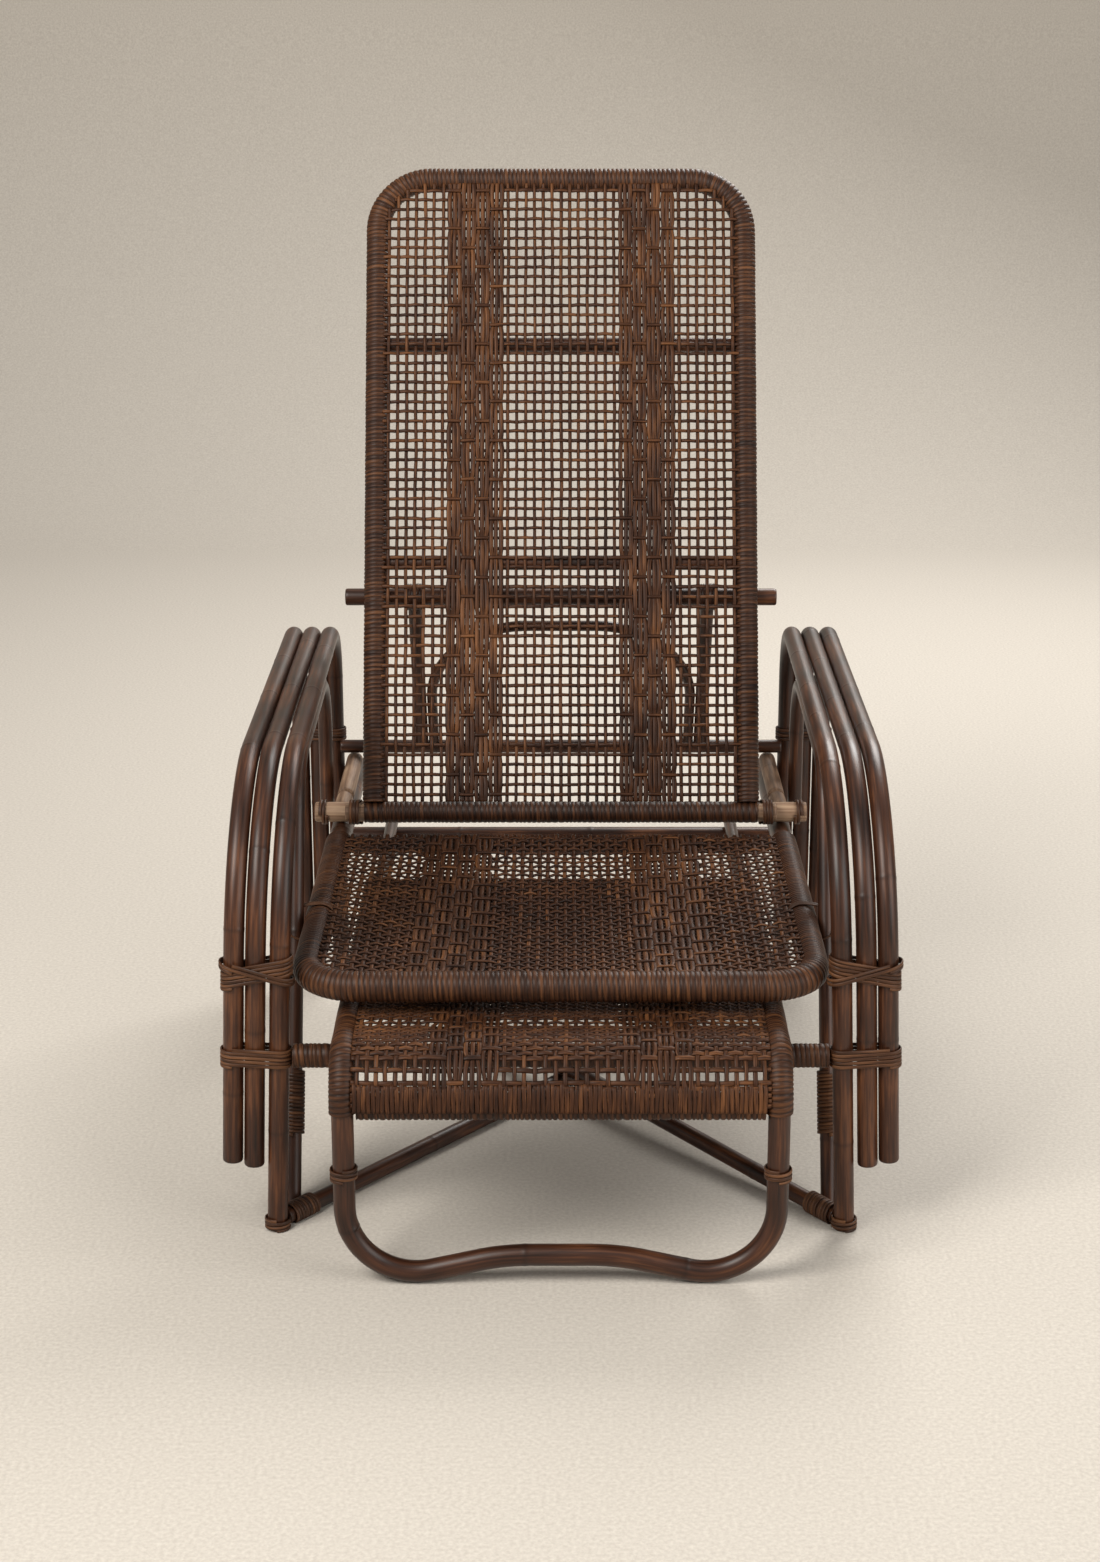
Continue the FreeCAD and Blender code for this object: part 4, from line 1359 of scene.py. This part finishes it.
@dataclass(frozen=True)
class LegRest:
    """Sliding leg rest: a bent cane with a waved foot, its wrappings and close sheet.

    Attributes:
        half: Half the distance between its sides.
        depth: Depth of its front legs.
        height: Height of its side canes.
        rear: Depth of the side canes' rear ends.
        bend: Radius of the bends from the sides to the legs.
        cane: Radius of the cane.
        wrap: Radius over the cane's wrapping, and its pitch.
        wrap_end: Height at which the wrapping ends.
        foot: Height of the waved foot's low corners.
        foot_bend: Radius of those corners.
        shoulder: Half the distance between the wave's shoulders.
        rise: How far the wave rises.
        crown: Radius of the wave.
        bar: Inner and outer radius of the front bar's wrapping, and its pitch.
        carrier: Radius of the canes that the sheet lies on.
        step: Greatest distance between the points of the cane's centre line.
        sheet_run: From the wrapping's end up to the sheet's front edge, and its rear depth.
        cut: Sizes of the sheet's strands.
        row_start: Distance from the sheet's front edge to its first level strand.
        row_pitch: Distance between its level strands where they stand close, and apart.
        open_rows: Stretches of the sheet where they stand apart.
        hem_pitch: Distance between the hem's floats.
        hem_run: Least and greatest length of a float.
        hem_cut: Width and thickness of a float.
    """

    half: float = 228.0
    depth: float = -126.0
    height: float = 206.0 + RAIL_WRAP + 17.0 + 14.5 + FIT
    rear: float = 430.0
    bend: float = 46.0
    cane: float = 12.0
    wrap: tuple[float, float] = (14.5, 5.6)
    wrap_end: float = 195.0
    foot: float = 12.0
    foot_bend: float = 75.0
    shoulder: float = 60.0
    rise: float = 38.0
    crown: float = 260.0
    bar: tuple[float, float, float] = (7.0, 12.4, 5.6)
    carrier: float = 9.0
    step: float = 4.0
    sheet_run: tuple[float, float] = (4.5, 421.0)
    cut: Cut = Cut(80.0, 72.0, 10.6, 0.18, 4.8, 5.2, steps=2)
    row_start: float = 7.0
    row_pitch: tuple[float, float] = (4.9, 11.0)
    open_rows: tuple[tuple[float, float], ...] = ((22.0, 40.0), (100.0, 124.0))
    hem_pitch: float = 4.9
    hem_run: tuple[float, float] = (23.0, 27.0)
    hem_cut: tuple[float, float] = (4.7, 1.7)

    def line(self) -> np.ndarray:
        """Centre line of the cane: sides, front legs and the waved foot.

        Returns:
            (N, 3) points.
        """
        slope = math.atan2(self.rise, self.half - self.shoulder)
        corner = self.foot + self.foot_bend * (1 - math.tan((math.pi / 2 + slope) / 2))
        crown = corner + (self.half - self.shoulder) * math.tan(slope)
        half = [(-self.half, self.rear, self.height), (-self.half, self.depth, self.height),
                (-self.half, self.depth, corner), (-self.shoulder, self.depth, crown)]
        return looped(half, [self.bend, self.foot_bend, self.crown], self.step)

    def sheet(self) -> Weave:
        """Close weave with two rows of open holes near its front.

        Returns:
            The sheet.
        """
        half = self.half - math.sqrt(self.wrap[0] ** 2 - (self.carrier + FIT) ** 2)
        front, rear = self.sheet_run
        line = bent_path([(0.0, self.depth, self.wrap_end + front),
                          (0.0, self.depth, self.height), (0.0, rear, self.height)],
                         [self.bend], 2.0)
        along = lengths(line)
        tangent = unit(np.gradient(line, axis=0))
        total = float(along[-1])
        close, apart = self.row_pitch
        rows = [self.row_start]
        while rows[-1] < total - 6.0:
            spot = rows[-1]
            is_open = any(low < spot < high for low, high in self.open_rows)
            rows.append(spot + (apart if is_open else close))
        offset = self.carrier + FIT + SHEET / 2

        def span(_: float) -> tuple[float, float]:
            """Every column runs from the front edge to the rear."""
            return 0.0, total

        def reach(_: float) -> tuple[float, float]:
            """Every row runs from side to side, into the wrappings."""
            return -half - 1.5, half + 1.5

        def put(x: np.ndarray, run: np.ndarray, above: np.ndarray) -> np.ndarray:
            """Points of the flat sheet bent over its canes.

            Args:
                x: Place across the sheet.
                run: Place along it.
                above: Height above its middle.

            Returns:
                (..., 3) points.
            """
            depth = np.interp(run, along, line[:, 1])
            height = np.interp(run, along, line[:, 2])
            ahead = np.interp(run, along, tangent[:, 1])
            rise = np.interp(run, along, tangent[:, 2])
            out = offset + above
            return np.stack([x, depth - rise * out, height + ahead * out], axis=-1)

        return Weave.laid(self.cut, half, np.array(rows), put, span, reach)

    def hem(self, sheet: Weave) -> Surface:
        """Close upright floats that carry the sheet up from its front bar.

        A float of length L stands 2.4 - 1.6 (run / L)^4 mm above the sheet's middle.

        Args:
            sheet: The sheet that they lie on.

        Returns:
            All the floats as one surface.
        """
        edge = sheet.reach(0.0)[1] - 4.0
        chance = np.random.default_rng(531)
        strands = []
        for place in np.arange(-edge, edge, self.hem_pitch):
            run = np.linspace(0.0, chance.uniform(*self.hem_run), 9)
            above = 2.4 - 1.6 * (run / run[-1]) ** 4
            path = sheet.put(place + 0.3 * np.sin(run / 5.0 + place), run, above)
            strands.append(ribbon(path, SIDEWAYS, *self.hem_cut,
                                  chance.uniform(0.0, TEXTURE_START)))
        return joined(strands)

    def pieces(self) -> Pieces:
        """Everything that slides with the leg rest.

        Returns:
            Its pieces and surfaces.
        """
        sheet = self.sheet()
        outer, pitch = self.wrap
        out = [(of_node("rest_frame", "pole", Body.REST, Slot.DARK),
                pole(self.line(), self.cane, 403, (True, True)))]
        for side, sign in SIDES.items():
            x = sign * self.half
            path = bent_path([(x, self.rear, self.height), (x, self.depth, self.height),
                              (x, self.depth, self.wrap_end)], [self.bend], self.step)
            out.append((of_node(f"rest_wrap_{side}", "strand", Body.REST, Slot.WRAP),
                        wound_sleeve(path, self.cane, outer, pitch, 505)))
        bar, _ = straight_line("rest_front_bar")
        core, over, bar_pitch = self.bar
        out.append((of_node("rest_front_bar", "strand", Body.REST, Slot.WRAP),
                    wound_sleeve(bar, core, over, bar_pitch, 506)))
        out += straight_poles(Body.REST, Slot.DARK, ("rest_back_bar",), 115)
        out += woven("rest_weave", Body.REST, sheet)
        out.append((of_node("rest_weave", "hem_strands", Body.REST, Slot.WEAVE),
                    self.hem(sheet)))
        return out


@dataclass(frozen=True)
class Lashings:
    """Split cane strands that tie the legs, the hinge and the feet.

    Attributes:
        arms: The arms whose legs are tied.
        seat: The seat that carries the hinge bar.
        rest: The leg rest whose legs are tied.
        upper: Turns, height and fall in degrees of the slanted binding of a front leg.
        lower: Turns and height of the level binding of a front leg.
        rear: Turns and height of the binding of a rear leg.
        leg_wrap: Turns and height of the wrapping of an arch's front leg.
        rest_tie: Turns and height of the tie of a leg of the leg rest.
        hinge_x: Half the distance between the hinge's lashings.
        foot_turns: Turns round the end of a brace, and round a foot.
        foot_place: Distance of the first from the brace's end, and height of the second.
        rail_reach: How far a rail tie passes before and behind the arch's leg, and how far
            short of the leg's centre it stays.
        rail_cut: Width of that tie's strand, which is its pitch too, and its thickness.
        crossing: Room between the slanted binding and the turns that cross it.
    """

    arms: ArmFrames
    seat: Seat
    rest: LegRest
    upper: tuple[int, float, float] = (5, 304.0, 14.0)
    lower: tuple[int, float] = (5, 206.0)
    rear: tuple[int, float] = (4, 352.0)
    leg_wrap: tuple[int, float] = (17, 72.0)
    rest_tie: tuple[int, float] = (3, 120.0)
    hinge_x: float = 256.0
    foot_turns: tuple[int, int] = (9, 3)
    foot_place: tuple[float, float] = (24.0, 7.5)
    rail_reach: tuple[float, float] = (14.0, 6.0)
    rail_cut: tuple[float, float] = (3.4, 1.8)
    crossing: float = 2.1

    def ring(self, turns: int, radius: float, seed: int) -> Surface:
        """Strand wound round one pole of a radius, before it is placed."""
        return winding(turns, 0.0, radius + STRAND + FIT, 0.0, seed)

    def leg_lash(self, turns: int, height: float, tilt: float, lift: float,
                 point: Callable[[int, float], np.ndarray], lean: float) -> Surface:
        """Strand wound round all three canes of a right leg.

        Args:
            turns: Number of turns.
            height: Height of its middle.
            tilt: How far the turns fall outward, in degrees.
            lift: Distance from the canes to the inside of the strand.
            point: Function from a cane's number and a height to its centre.
            lean: How far the canes lean from upright, in degrees.

        Returns:
            Its closed surface.
        """
        inner, outer = point(0, height), point(2, height)
        slope = math.cos(math.radians(tilt))
        lash = winding(turns, (outer[0] - inner[0]) / 2 / slope,
                       self.arms.cane / slope + STRAND + lift, tilt, 600 + turns)
        spin = math.radians(tilt - lean)
        return placed(lash, np.array([math.cos(spin), 0.0, -math.sin(spin)]),
                      np.array([math.sin(spin), 0.0, math.cos(spin)]), (inner + outer) / 2)

    def rail_tie(self, turns: int, seed: int) -> Surface:
        """Strand that ties the seat's rail to the leaning leg of the arch beside it.

        At angle a round the rail it stands at bend cos(a) across and bend sin(a) up. Where
        c = cos(a) is above zero it is drawn out to the leg by sqrt(c) of the distance, its
        height shrinks by a quarter of c, and it passes the leg at tanh(3 sin a) of its reach.

        Args:
            turns: Number of turns.
            seed: Number that starts the strand's texture.

        Returns:
            The right-hand tie, whose runs pass in front of and behind the leg.
        """
        seat, leg = self.seat, self.arms.arch_point(self.seat.height)
        bend = seat.rail + seat.wrap[0] + STRAND
        angle = np.linspace(0.0, 2 * math.pi * turns, 40 * turns + 1)
        out = np.maximum(np.cos(angle), 0.0)
        aside, short = self.rail_reach
        across = seat.half + bend * np.cos(angle) + (leg[0] - seat.half - short) * out ** 0.5
        height = seat.height + bend * np.sin(angle) * (1 - 0.25 * out)
        side = np.tanh(3.0 * np.sin(angle))
        pitch = self.rail_cut[0]
        depth = leg[1] + aside * side + pitch * (angle / (2 * math.pi) - turns / 2)
        path = np.stack([across, depth, height], axis=1)
        return ribbon(path, np.array([0.0, 1.0, 0.0]), *self.rail_cut, float(seed))

    def foot_wraps(self) -> Surface:
        """Strands round both front feet and round the ends of the braces beside them.

        Returns:
            Their surface, pressed flat at the floor.
        """
        parts = []
        brace_turns, foot_turns = self.foot_turns
        along, height = self.foot_place
        for number, line in enumerate(self.arms.brace_lines()):
            ahead = unit(line[LEAD] - line[0])
            beside = unit(np.cross(UP, ahead))
            parts.append(placed(self.ring(brace_turns, self.arms.brace, 631 + number), beside,
                                ahead, line[0] + ahead * along))
            foot = self.arms.front(0, height)
            foot[0] = math.copysign(foot[0], line[0][0])
            parts.append(placed(self.ring(foot_turns, self.arms.cane, 641 + number), SIDEWAYS,
                                UP, foot))
        return moved(joined(parts), pressed)

    def right_side(self) -> dict[str, Surface]:
        """Right-hand lashing of each node.

        Returns:
            The surface of each, by node.
        """
        arms, seat, rest = self.arms, self.seat, self.rest
        turns, height, fall = self.upper
        out = {
            "upper_leg_bindings": joined([
                self.leg_lash(turns, height, fall, FIT, arms.front, arms.lean),
                self.rail_tie(3, 621),
                self.leg_lash(2, height, -fall, FIT + self.crossing, arms.front, arms.lean)]),
            "lower_leg_bindings": self.leg_lash(*self.lower, 0.0, FIT, arms.front, arms.lean),
            "rear_leg_bindings": self.leg_lash(*self.rear, 0.0, FIT, arms.rear, 0.0),
        }
        bar, hinge = seat.bar_centre, np.array([0.0, *seat.hinge])
        gap = bar - hinge
        loop = winding(3, float(np.linalg.norm(gap)) / 2, seat.bar + STRAND + FIT, 0.0, 611)
        out["hinge_lashings"] = placed(loop, unit(gap), SIDEWAYS,
                                       (bar + hinge) / 2 + SIDEWAYS * self.hinge_x)
        ring_x = seat.half + seat.rail + 2 * STRAND + STEP
        out["hinge_bar_lashings"] = placed(self.ring(2, seat.bar, 612), -UP, SIDEWAYS,
                                           bar + SIDEWAYS * ring_x)
        turns, low = self.leg_wrap
        lean = unit(np.array([0.0, arms.arch_slope, 1.0]))
        out["leg_wraps"] = placed(self.ring(turns, arms.arch, 613), SIDEWAYS, lean,
                                  arms.arch_point(low) + lean * turns / 2 * STEP)
        turns, low = self.rest_tie
        out["rest_leg_ties"] = placed(self.ring(turns, rest.cane, 614), SIDEWAYS, UP,
                                      np.array([rest.half, rest.depth, low + turns / 2 * STEP]))
        return out

    def pieces(self) -> Pieces:
        """Each node's left and right lashing as one piece.

        Returns:
            Their pieces and surfaces.
        """
        out = []
        for node, part in self.right_side().items():
            body = Body.REST if node == "rest_leg_ties" else Body.BASE
            pair = [part, mirrored(part)]
            if node == "leg_wraps":
                pair.append(self.foot_wraps())
            out.append((of_node(node, "strands", body, Slot.TIE), joined(pair)))
        return out


class NodeTree:
    """Short way to add and link the nodes of one material."""

    def __init__(self, name: str) -> None:
        """Starts a material without nodes.

        Args:
            name: Its name.
        """
        self.material = bpy.data.materials.new(name)
        self.material.use_nodes = True
        self.tree = self.material.node_tree
        self.tree.nodes.clear()

    def feed(self, socket: bpy.types.NodeSocket, value: object) -> None:
        """Links a socket to an input, or gives the input a value.

        Args:
            socket: The input.
            value: Socket or value.
        """
        if isinstance(value, bpy.types.NodeSocket):
            self.tree.links.new(value, socket)
        else:
            socket.default_value = value

    def add(self, kind: str, **inputs: object) -> bpy.types.Node:
        """Adds a node; each input is a value, or a socket to link from.

        Args:
            kind: Node type.
            **inputs: Values or sockets, by input name with _ for each space.

        Returns:
            The new node.
        """
        node = self.tree.nodes.new(kind)
        for name, value in inputs.items():
            self.feed(node.inputs[name.replace("_", " ")], value)
        return node

    def noise(self, place: bpy.types.NodeSocket, scale: float, detail: float,
              roughness: float) -> bpy.types.NodeSocket:
        """Soft random pattern.

        Args:
            place: Socket of the coordinates.
            scale: Patches in each metre.
            detail: How many finer layers it has.
            roughness: How much the finer layers count.

        Returns:
            Socket of its value.
        """
        node = self.add("ShaderNodeTexNoise", Vector=place, Scale=scale, Detail=detail,
                        Roughness=roughness)
        return node.outputs["Fac"]

    def ramp(self, factor: bpy.types.NodeSocket, tones: tuple[tuple[float, float, float], ...],
             stops: tuple[float, ...]) -> bpy.types.NodeSocket:
        """Colour ramp over a factor.

        Args:
            factor: Socket that drives it.
            tones: Its colours.
            stops: Place of each, from 0 to 1.

        Returns:
            Its colour socket.
        """
        node = self.add("ShaderNodeValToRGB", Fac=factor)
        elements = node.color_ramp.elements
        while len(elements) < len(tones):
            elements.new(0.5)
        for element, tone, stop in zip(elements, tones, stops):
            element.position = stop
            element.color = (*tone, 1.0)
        return node.outputs["Color"]

    def mix(self, factor: bpy.types.NodeSocket, first: bpy.types.NodeSocket,
            second: tuple[float, float, float]) -> bpy.types.NodeSocket:
        """Colour between two colours.

        Args:
            factor: Share of the second, as a socket.
            first: Socket of the first colour.
            second: The second colour.

        Returns:
            Socket of the result.
        """
        node = self.tree.nodes.new("ShaderNodeMix")
        node.data_type = "RGBA"
        for index, value in ((0, factor), (6, first), (7, (*second, 1.0))):
            self.feed(node.inputs[index], value)
        return node.outputs[2]

    def math(self, operation: str, first: object, second: object) -> bpy.types.NodeSocket:
        """Result of a calculation with two values.

        Args:
            operation: Its name.
            first: Socket or value.
            second: Socket or value.

        Returns:
            Socket of the result.
        """
        node = self.tree.nodes.new("ShaderNodeMath")
        node.operation = operation
        for socket, value in zip(node.inputs, (first, second)):
            self.feed(socket, value)
        return node.outputs[0]


@dataclass(frozen=True)
class Finish:
    """Look of one slot.

    Attributes:
        tones: Colours from the deepest to the lightest, in linear red, green and blue.
        stops: Place of each colour, from 0 to 1.
        mark_and_shade_colour: Colour where the mark is full: darker node rings, worn ends and
            sleeve ends, and painted shade in grooves, at strands' edges and on their undersides.
        share: How much of that colour shows there.
        streak: Streaks in each metre across the strand.
        rough: Least and greatest roughness.
        coat: Weight of the clear top coat.
        bump: Strength of the streaks' relief.
        gloss: Level of the plain reflection, where 0.5 is that of glass.
        slim: Streaks in each metre along the strand, as a share of those across.
        slow: Slow changes in each metre, across twice and along.
        shares: Shares of streaks, slow changes and broad patches in the tone.
        contrast: How much the tone is stretched from its middle.
        coat_rough: Roughness of the top coat.
        relief: Depth of the streaks' relief in metres.
    """

    tones: tuple[tuple[float, float, float], ...]
    stops: tuple[float, ...]
    mark_and_shade_colour: tuple[float, float, float]
    share: float
    streak: float
    rough: tuple[float, float]
    coat: float
    bump: float
    gloss: float
    slim: float = 0.05
    slow: tuple[float, float, float] = (6.0, 6.0, 9.0)
    shares: tuple[float, float, float] = (0.42, 0.36, 0.22)
    contrast: float = 2.4
    coat_rough: float = 0.32
    relief: float = 0.0006

    def material(self, slot: Slot) -> bpy.types.Material:
        """Aged cane: streaks along the strand, slow changes of tone, darker node rings and worn
        ends, and painted shade in grooves, at strands' edges and on their undersides.

        Args:
            slot: The material slot.

        Returns:
            The material.
        """
        tree = NodeTree(slot.value)
        lay = tree.add("ShaderNodeAttribute")
        lay.attribute_name = "lay"
        mark = tree.add("ShaderNodeAttribute")
        mark.attribute_name = "mark"
        place = tree.add("ShaderNodeTexCoord")
        fine = tree.add("ShaderNodeMapping", Vector=lay.outputs["Vector"],
                        Scale=(self.streak, self.streak, self.streak * self.slim))
        streaks = tree.noise(fine.outputs["Vector"], 1.0, 4.0, 0.6)
        coarse = tree.add("ShaderNodeMapping", Vector=lay.outputs["Vector"], Scale=self.slow)
        slow = tree.noise(coarse.outputs["Vector"], 1.0, 2.0, 0.5)
        broad = tree.noise(place.outputs["Object"], 4.0, 3.0, 0.55)
        tone = tree.math("MULTIPLY", streaks, self.shares[0])
        for noise, share in zip((slow, broad), self.shares[1:]):
            tone = tree.math("ADD", tone, tree.math("MULTIPLY", noise, share))
        tone = tree.math("MULTIPLY", tree.math("SUBTRACT", tone, 0.5), self.contrast)
        tone = tree.math("ADD", tone, 0.5)
        colour = tree.ramp(tone, self.tones, self.stops)
        # Darkens node rings and worn ends, and paints shade into grooves, strands' edges and
        # undersides.
        shade = tree.math("MULTIPLY", mark.outputs["Fac"], self.share)
        colour = tree.mix(shade, colour, self.mark_and_shade_colour)
        rough = tree.math("ADD", self.rough[0],
                          tree.math("MULTIPLY", streaks, self.rough[1] - self.rough[0]))
        relief = tree.add("ShaderNodeBump", Strength=self.bump, Distance=self.relief,
                          Height=streaks)
        shader = tree.add("ShaderNodeBsdfPrincipled", Base_Color=colour, Roughness=rough,
                          Normal=relief.outputs["Normal"], Coat_Weight=self.coat,
                          Coat_Roughness=self.coat_rough, Specular_IOR_Level=self.gloss)
        tree.add("ShaderNodeOutputMaterial", Surface=shader.outputs["BSDF"])
        return tree.material


# Each marked colour darkens node rings and worn ends, and is the painted shade of grooves,
# strands' edges and undersides.
FINISHES = {
    Slot.DARK: Finish(
        tones=((0.011, 0.0038, 0.0018), (0.050, 0.0165, 0.0068), (0.165, 0.060, 0.022)),
        stops=(0.25, 0.55, 0.85), mark_and_shade_colour=(0.006, 0.0022, 0.0012), share=0.75, streak=260.0,
        rough=(0.30, 0.50), coat=0.12, bump=0.18, gloss=0.34),
    Slot.BARE: Finish(
        tones=((0.070, 0.036, 0.020), (0.235, 0.140, 0.085), (0.470, 0.325, 0.215)),
        stops=(0.25, 0.52, 0.82), mark_and_shade_colour=(0.080, 0.045, 0.030), share=0.5, streak=220.0,
        rough=(0.45, 0.68), coat=0.0, bump=0.25, gloss=0.35),
    Slot.WRAP: Finish(
        tones=((0.012, 0.0042, 0.0019), (0.048, 0.0170, 0.0068), (0.165, 0.065, 0.023)),
        stops=(0.25, 0.50, 0.82), mark_and_shade_colour=(0.005, 0.002, 0.0012), share=0.92, streak=520.0,
        rough=(0.38, 0.60), coat=0.0, bump=0.22, gloss=0.26),
    Slot.WEAVE: Finish(
        tones=((0.014, 0.0048, 0.0021), (0.054, 0.0192, 0.0074), (0.185, 0.074, 0.026)),
        stops=(0.25, 0.50, 0.82), mark_and_shade_colour=(0.006, 0.0025, 0.0014), share=0.85, streak=620.0,
        rough=(0.40, 0.62), coat=0.0, bump=0.20, gloss=0.20),
    Slot.TIE: Finish(
        tones=((0.014, 0.0055, 0.0028), (0.062, 0.0240, 0.0100), (0.205, 0.088, 0.036)),
        stops=(0.25, 0.50, 0.85), mark_and_shade_colour=(0.008, 0.0035, 0.0022), share=0.8, streak=560.0,
        rough=(0.38, 0.60), coat=0.0, bump=0.20, gloss=0.28),
}


@dataclass(frozen=True)
class Lamp:
    """Soft square light.

    Attributes:
        name: Its name.
        place: Its place in metres.
        size: Side of the square.
        power: Its power in watts.
        colour: Its colour.
    """

    name: str
    place: tuple[float, float, float]
    size: float
    power: float
    colour: tuple[float, float, float]

    def build(self, aim: float) -> None:
        """Adds the light, aimed at the middle of the chair.

        Args:
            aim: Height of that middle.
        """
        data = bpy.data.lights.new(self.name, "AREA")
        data.shape = "SQUARE"
        data.size = self.size
        data.energy = self.power
        data.color = self.colour
        light = bpy.data.objects.new(self.name, data)
        bpy.context.scene.collection.objects.link(light)
        light.location = self.place
        x, y, z = self.place
        light.rotation_euler = (math.atan2(math.hypot(x, y), z - aim), 0.0, math.atan2(x, -y))


@dataclass(frozen=True)
class Studio:
    """Floor, lights and camera round the chair.

    Attributes:
        reach: How far the floor runs to each side and to the front, in metres.
        back: Distance of the backdrop's curve behind the chair.
        curve: Radius of that curve.
        height: Height of the backdrop.
        lens: Focal length of the camera in millimetres.
        eye: Place of the camera.
        pitch: How far it looks down, in degrees.
        shift: Sideways shift of its frame.
        sensor: Width of its sensor in millimetres.
        aim: Height that the lights are aimed at.
        lamps: The lights.
        world: Colour of the light from all round.
        glow: Strength of that light.
        floor_tones: Darkest and lightest colour of the floor.
    """

    reach: float = 18.0
    back: float = 3.2
    curve: float = 1.2
    height: float = 6.0
    lens: float = 62.23
    eye: tuple[float, float, float] = (0.0, -3.0501, 1.348)
    pitch: float = 17.0
    shift: float = -0.007
    sensor: float = 36.0
    aim: float = 0.5
    lamps: tuple[Lamp, ...] = (
        Lamp("key", (-1.9, -2.2, 2.9), 1.8, 130.0, (1.0, 0.96, 0.90)),
        Lamp("fill", (2.6, -2.0, 1.6), 2.2, 55.0, (1.0, 0.97, 0.93)),
        Lamp("behind", (1.2, 2.6, 2.8), 1.8, 110.0, (1.0, 0.98, 0.95)))
    world: tuple[float, float, float] = (0.94, 0.92, 0.89)
    glow: float = 0.40
    floor_tones: tuple[tuple[float, float, float], ...] = ((0.50, 0.46, 0.41),
                                                           (0.62, 0.58, 0.52))

    def floor_material(self) -> bpy.types.Material:
        """Pale matt floor and backdrop, with a fine grain.

        Returns:
            The material.
        """
        tree = NodeTree("pale_floor")
        place = tree.add("ShaderNodeTexCoord")
        grain = tree.noise(place.outputs["Object"], 220.0, 3.0, 0.6)
        colour = tree.ramp(grain, self.floor_tones, (0.3, 0.7))
        relief = tree.add("ShaderNodeBump", Strength=0.25, Distance=0.002, Height=grain)
        shader = tree.add("ShaderNodeBsdfPrincipled", Base_Color=colour, Roughness=0.95,
                          Normal=relief.outputs["Normal"])
        tree.add("ShaderNodeOutputMaterial", Surface=shader.outputs["BSDF"])
        return tree.material

    def floor(self) -> None:
        """Floor that curves up into a plain backdrop behind the chair."""
        turn = np.linspace(0.0, math.pi / 2, 24)
        depth = np.concatenate([[-self.reach], self.back + self.curve * np.sin(turn),
                                [self.back + self.curve]])
        height = np.concatenate([[0.0], self.curve * (1 - np.cos(turn)), [self.height]])
        width = np.array([-self.reach, self.reach])
        points = np.stack([np.tile(width, len(depth)), np.repeat(depth, 2),
                           np.repeat(height, 2)], axis=1)
        mesh = bpy.data.meshes.new("floor_and_backdrop")
        faces = grid_faces(len(depth), 2, closed=False)
        mesh.from_pydata(points.tolist(), [], faces.tolist())
        mesh.polygons.foreach_set("use_smooth", np.ones(len(mesh.polygons), bool))
        mesh.materials.append(self.floor_material())
        stage = bpy.data.objects.new("floor_and_backdrop", mesh)
        bpy.context.scene.collection.objects.link(stage)

    def lights(self) -> None:
        """A broad key, a fill, a light from behind and a pale world."""
        for lamp in self.lamps:
            lamp.build(self.aim)
        world = bpy.data.worlds.new("studio")
        world.use_nodes = True
        background = world.node_tree.nodes["Background"]
        background.inputs["Color"].default_value = (*self.world, 1.0)
        background.inputs["Strength"].default_value = self.glow
        bpy.context.scene.world = world

    def camera(self) -> None:
        """Camera at the photograph's place, pitch and field of view."""
        data = bpy.data.cameras.new("photo_camera")
        data.lens = self.lens
        data.sensor_width = self.sensor
        data.shift_x = self.shift
        camera = bpy.data.objects.new("photo_camera", data)
        camera.location = self.eye
        camera.rotation_euler = (math.radians(90.0 - self.pitch), 0.0, 0.0)
        bpy.context.scene.collection.objects.link(camera)
        bpy.context.scene.camera = camera

    def build(self) -> None:
        """Floor, lights and camera together."""
        self.floor()
        self.lights()
        self.camera()


def main() -> None:
    """Builds the whole scene, one sub-assembly after another."""
    logging.basicConfig(level=logging.INFO)
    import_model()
    materials = {slot: look.material(slot) for slot, look in FINISHES.items()}
    arms, seat, back, rest = ArmFrames(), Seat(), Backrest(), LegRest()
    for part in (arms, seat, back, Prop(arms, seat, back), rest, Lashings(arms, seat, rest)):
        for piece, surface in part.pieces():
            make_piece(piece, surface, materials)
    Studio().build()
    bpy.context.scene.view_settings.view_transform = "Standard"


if __name__ == "__main__":
    main()
